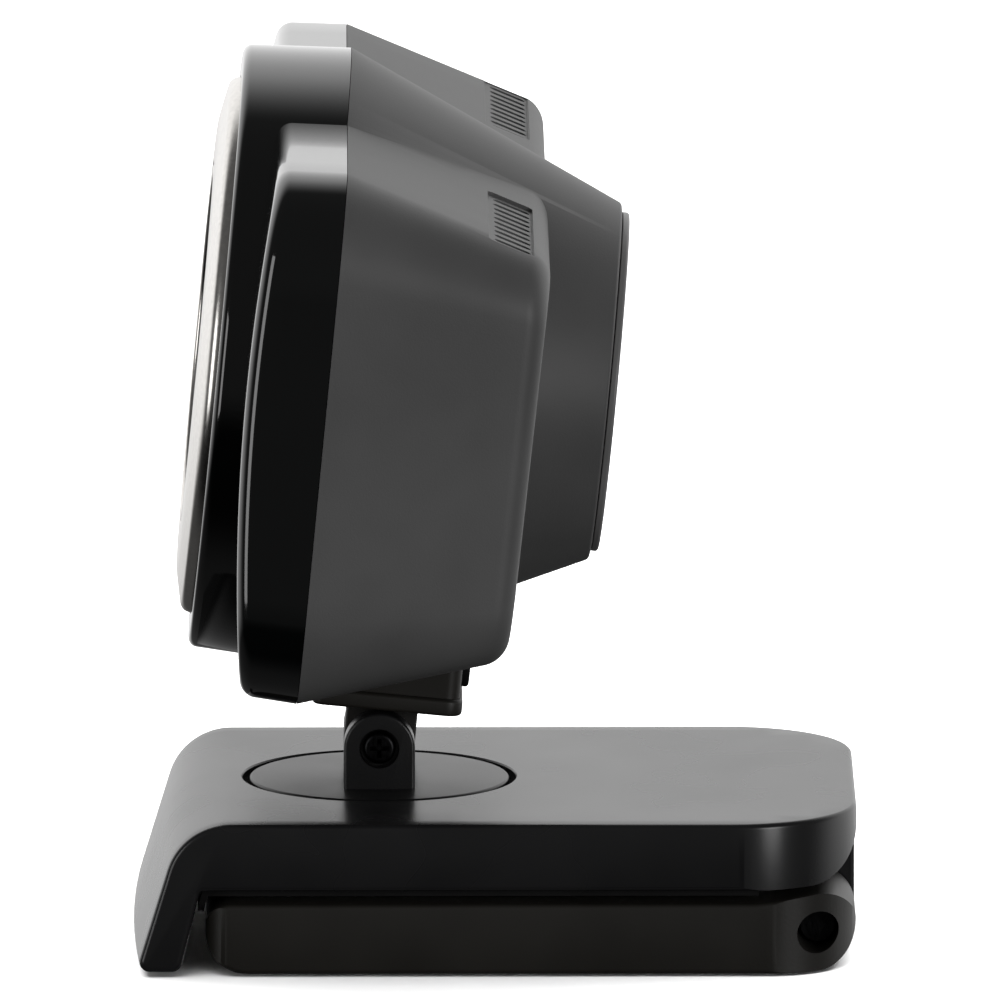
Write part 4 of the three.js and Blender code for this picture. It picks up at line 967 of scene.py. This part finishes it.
def base_cover():
    """Moulded cover: a flat plate that bends down in front into a hook and behind into a knuckle."""
    side = dense(rounded([
        (STAND_REAR, COVER_TOP, 0.5), (hook_outer(COVER_TOP), COVER_TOP, HOOK_BEND_R),
        (hook_outer(HOOK_LOW), HOOK_LOW, 1.0), (hook_inner(HOOK_LOW), HOOK_LOW, 1.0),
        (HOOK_INNER_Y, COVER_LOW, 0.5), (STAND_REAR, COVER_LOW, 4.5),
    ], step_degrees=4), 4)
    slab = prism("stand_cover", side, -STAND_HALF, STAND_HALF, "X", edge=0.5,
                 stations=even(-STAND_HALF, STAND_HALF, 20), warp=bow)
    half, rear = STAND_HALF + SHAVE, STAND_REAR + SHAVE
    plan = prism("plan", rounded([
        (-half, -FAR_SIDE, 1.0), (half, -FAR_SIDE, 1.0),
        (half, rear, COVER_CORNER), (-half, rear, COVER_CORNER),
    ], step_degrees=3), -5, COVER_TOP + SHAVE, "Z", edge=0.5, edge_steps=6)
    body = combine(slab, [plan], "INTERSECT")
    knuckle = prism("knuckle", [(HINGE_Y - HINGE_R, COVER_TOP - 3)]
                    + arc(HINGE_Y, HINGE_Z, HINGE_R, 180, 360, 32)
                    + [(HINGE_Y + HINGE_R, COVER_TOP - 3)], -KNUCKLE_HALF, KNUCKLE_HALF, "X", edge=0.3)
    seat = turned("disc_seat", rounded([
        (0, COVER_TOP - 1.8, 0), (DISC_R + 0.65, COVER_TOP - 1.8, 0.1), (DISC_R + 0.65, COVER_TOP - 0.15, 0),
        (DISC_R + 0.8, COVER_TOP + 0.1, 0), (DISC_R + 0.8, COVER_TOP + 2, 0), (0, COVER_TOP + 2, 0),
    ], closed=False), axis="Z")
    stem = turned("stem_way", [(0, 2), (3.9, 2), (3.9, COVER_TOP), (0, COVER_TOP)], axis="Z", segments=64)
    washer_way = turned("washer_way", [(0, 2), (6.8, 2), (6.8, 11.15), (0, 11.15)], axis="Z", segments=96)
    for cutter in (seat, stem, washer_way):
        cutter.data.transform(Matrix.Translation((0, SWIVEL_Y, 0)))
    hollow = room_for("under_cover", 0.5, COVER_LOW - 2)
    bore = on_hinge(turned("pin_bore", [
        (0, -FAR_SIDE), (COVER_BORE_R, -FAR_SIDE), (COVER_BORE_R, FAR_SIDE), (0, FAR_SIDE)], segments=48))
    top = HOOK_PAD_TOP + PAD_FIT
    pocket_front = [hook_outer(top) + HOOK_SKIN + 0.1, hook_outer(-2) + HOOK_SKIN + 0.1]
    pocket = prism("pad_pocket", dense([
        (pocket_front[0], top), (pocket_front[1], -2), (hook_inner(-2) + 2, -2), (hook_inner(top) + 2, top),
    ], 1.5), -PAD_HALF - PAD_FIT, PAD_HALF + PAD_FIT, "X", edge=0.01, edge_steps=1,
        stations=even(-PAD_HALF - PAD_FIT, PAD_HALF + PAD_FIT, 20), warp=bow)
    return cut(join(body, knuckle), seat, stem, washer_way, hollow, bore, pocket)


def hook_pad():
    """Rubber pad with rounded ends, set in the hook's inner side."""
    top = HOOK_PAD_TOP
    outline = dense(rounded([
        (hook_outer(top) + HOOK_SKIN + 0.2, top, 0.15),
        (hook_outer(HOOK_LOW) + HOOK_SKIN + 0.2, HOOK_LOW + 0.05, 0.15),
        (hook_inner(HOOK_LOW) - 0.05, HOOK_LOW + 0.05, 0.8), (hook_inner(top) - 0.05, top, 0.3),
    ], step_degrees=15), 1.5)
    return prism("hook_cushion", outline, -PAD_HALF, PAD_HALF, "X", edge=0.3,
                 stations=even(-PAD_HALF, PAD_HALF, 20), warp=bow)


finish_piece(base_cover(), STAND, "base", "cover_paint", ["base_cover"])
finish_piece(hook_pad(), STAND, "base", "rubber", ["hook_pad"])

# ---------------------------------------------------------------- leg

LEG_HALF = 24.6
LEG_TOP = 7.0
LEG_LOW = 0.25
LEG_NOSE = -27.4
LEG_CORNER = 9                 # corners beside the hinge, seen from above
LEG_BORE_R = 2.0
LEG_BARREL_Y = 24.6            # where the flat top gives way to the barrel
NOTCH_HALF = 8.8
PAD_RIB_COUNT = 15
PAD_RIB_HEIGHT = 0.25
PAD_RIB_INSET = 3              # from the pad's end to the middle of its first rib


def leg():
    """Moulded leg: a flat plate with a round nose and a barrel at the hinge, notched for the knuckle."""
    nose = rounded([
        (LEG_BARREL_Y, LEG_TOP, 0), (LEG_NOSE, LEG_TOP, 2.4), (LEG_NOSE, LEG_LOW, 3.9), (HINGE_Y, LEG_LOW, 0),
    ], closed=False, step_degrees=4)
    barrel = arc(HINGE_Y, HINGE_Z, HINGE_R, -85, 90, 44)
    side = dense(nose + barrel, 4)
    slab = prism("fold_leg", side, -LEG_HALF, LEG_HALF, "X", edge=0.5,
                 stations=even(-LEG_HALF, LEG_HALF, 8))
    plan = prism("leg_plan", rounded([
        (-LEG_HALF - SHAVE, LEG_NOSE - 0.1, 2.5), (LEG_HALF + SHAVE, LEG_NOSE - 0.1, 2.5),
        (LEG_HALF + SHAVE, HINGE_Y + HINGE_R + SHAVE, LEG_CORNER),
        (-LEG_HALF - SHAVE, HINGE_Y + HINGE_R + SHAVE, LEG_CORNER),
    ], step_degrees=3), -3, 12, "Z", edge=0.1)
    body = combine(slab, [plan], "INTERSECT")
    notch = prism("notch", rounded([
        (-NOTCH_HALF, HINGE_Y - HINGE_R - 1, 0.8), (NOTCH_HALF, HINGE_Y - HINGE_R - 1, 0.8),
        (NOTCH_HALF, 60, 0), (-NOTCH_HALF, 60, 0),
    ]), -3, 12, "Z", edge=0.1)
    bore = on_hinge(turned("leg_bore", [
        (0, -FAR_SIDE), (LEG_BORE_R, -FAR_SIDE), (LEG_BORE_R, FAR_SIDE), (0, FAR_SIDE)], segments=96))
    return cut(body, notch, bore, room_for("leg_cover", 0.8, -2))


def leg_pad():
    """Rubber foot with fine cross ribs."""
    low, high = box_mm("leg_pad")
    pad = prism("foot_pad", rounded([
        (low.x, low.y, 2), (high.x, low.y, 2), (high.x, high.y, 2), (low.x, high.y, 2),
    ]), low.z + PAD_RIB_HEIGHT, high.z, "Z", edge=0.15)
    rib = prism("pad_rib", [(-0.45, low.z), (0.45, low.z), (0.7, low.z + 0.4), (-0.7, low.z + 0.4)],
                low.y + 2.5, high.y - 2.5, "Y", edge=0.1, edge_steps=1)
    step = (high.x - low.x - 2 * PAD_RIB_INSET) / (PAD_RIB_COUNT - 1)
    ribs = repeated("pad_ribs", ON_LINE, rib, FINISH["rubber"], Count=PAD_RIB_COUNT,
                    Start=(low.x + PAD_RIB_INSET, 0.0, 0.0), Step=(step, 0.0, 0.0))
    return join(pad, ribs)


finish_piece(leg(), STAND, "leg", "satin_black", ["leg"])
finish_piece(leg_pad(), STAND, "leg", "rubber", ["leg_pad"])

# ---------------------------------------------------------------- floor, light and camera

def floor():
    """Plain pale floor, which the object's finishes neither mirror nor take light from."""
    mesh = bpy.data.meshes.new("floor")
    half = 4.0                 # metres
    corners = [(-half, -half, 0), (half, -half, 0), (half, half, 0), (-half, half, 0)]
    mesh.from_pydata(corners, [], [(0, 1, 2, 3)])
    piece = bpy.data.objects.new("floor", mesh)
    bpy.context.scene.collection.objects.link(piece)
    piece.visible_glossy = piece.visible_diffuse = False
    material, tree, shader, vector = new_finish("pale_floor", Roughness=0.6, Specular_IOR_Level=0.2)
    vary_colour(tree, shader, noise(tree, vector, 400, 2.0), "f4f4f4", "f8f8f8")
    mesh.materials.append(material)
    return piece


def softbox(name, place, target, width, height, brightness, only=None):
    """A soft rectangular light, in the same units as the surroundings. It may light one thing only."""
    light = bpy.data.lights.new(name, "AREA")
    light.shape = "RECTANGLE"
    light.size, light.size_y = width, height
    light.energy = brightness * math.pi * width * height
    lamp = bpy.data.objects.new(name, light)
    lamp.location = place
    lamp.rotation_euler = (Vector(target) - Vector(place)).to_track_quat("-Z", "Y").to_euler()
    bpy.context.scene.collection.objects.link(lamp)
    if only:
        lit = bpy.data.collections.new(name + "_lights")
        lit.objects.link(only)
        lamp.light_linking.receiver_collection = lit


BACKDROP = 1.1                 # brightness of the white backdrop at -X
ROOM = 0.085                   # brightness of the dim room overhead and at +X
BACKDROP_WAY = (-1, 0, -0.5)   # the backdrop stands at -X and fades upwards


def surroundings():
    """White to the eye. A low white backdrop at -X lights the object, in a room that is dim elsewhere."""
    world = bpy.data.worlds.new("studio")
    world.use_nodes = True
    tree = world.node_tree
    place = add(tree, "ShaderNodeTexCoord")
    towards = add(tree, "ShaderNodeVectorMath", operation="DOT_PRODUCT")
    tree.links.new(place.outputs["Generated"], towards.inputs[0])
    towards.inputs[1].default_value = BACKDROP_WAY
    fade = add(tree, "ShaderNodeMapRange", links=[(towards.outputs["Value"], "Value")],
               interpolation_type="SMOOTHSTEP", From_Min=-0.2, From_Max=0.45, To_Min=ROOM, To_Max=BACKDROP)
    parts = add(tree, "ShaderNodeSeparateXYZ", links=[(place.outputs["Generated"], "Vector")])
    above = add(tree, "ShaderNodeMapRange", links=[(parts.outputs["Z"], "Value")],
                interpolation_type="SMOOTHSTEP", From_Min=-0.4, From_Max=-0.08, To_Min=0.05, To_Max=1)
    standing = add(tree, "ShaderNodeMath", operation="MULTIPLY")
    tree.links.new(fade.outputs["Result"], standing.inputs[0])
    tree.links.new(above.outputs["Result"], standing.inputs[1])
    path = add(tree, "ShaderNodeLightPath")
    strength = add(tree, "ShaderNodeMath", operation="MAXIMUM")
    tree.links.new(standing.outputs["Value"], strength.inputs[0])
    tree.links.new(path.outputs["Is Camera Ray"], strength.inputs[1])
    background = tree.nodes["Background"]
    background.inputs["Color"].default_value = (1, 1, 1, 1)
    tree.links.new(strength.outputs["Value"], background.inputs["Strength"])
    bpy.context.scene.world = world


CAMERA_AZIMUTH = math.radians(89.65)
CAMERA_ELEVATION = math.radians(10.47)
CAMERA_DISTANCE = 2.8
CAMERA_AIM = Vector((0, 0.00062, 0.0414))
FRAME_WIDTH = 1 / 10.5         # metres across the frame at the object


SENSOR_WIDTH = 36


def camera():
    """Looks at the object's left side from a little above."""
    data = bpy.data.cameras.new("camera")
    data.sensor_width = SENSOR_WIDTH
    data.lens = SENSOR_WIDTH * CAMERA_DISTANCE / FRAME_WIDTH
    data.clip_start, data.clip_end = 0.1, 50
    eye = bpy.data.objects.new("camera", data)
    back = Vector((math.sin(CAMERA_AZIMUTH) * math.cos(CAMERA_ELEVATION),
                   -math.cos(CAMERA_AZIMUTH) * math.cos(CAMERA_ELEVATION), math.sin(CAMERA_ELEVATION)))
    eye.location = CAMERA_AIM + back * CAMERA_DISTANCE
    eye.rotation_euler = (-back).to_track_quat("-Z", "Y").to_euler()
    bpy.context.scene.collection.objects.link(eye)
    bpy.context.scene.camera = eye


surroundings()
softbox("rear_softbox", (0.95, 0.74, 0.12), (0, 0.02, 0.04), width=0.3, height=0.42, brightness=9)
softbox("front_softbox", (0.85, -0.87, 0.15), (0, -0.02, 0.04), width=0.5, height=0.7, brightness=2.7)
softbox("floor_softbox", (0, 0, 1.6), (0, 0, 0), width=3.0, height=3.0, brightness=4.4, only=floor())
camera()
bpy.context.scene.view_settings.view_transform = "Standard"
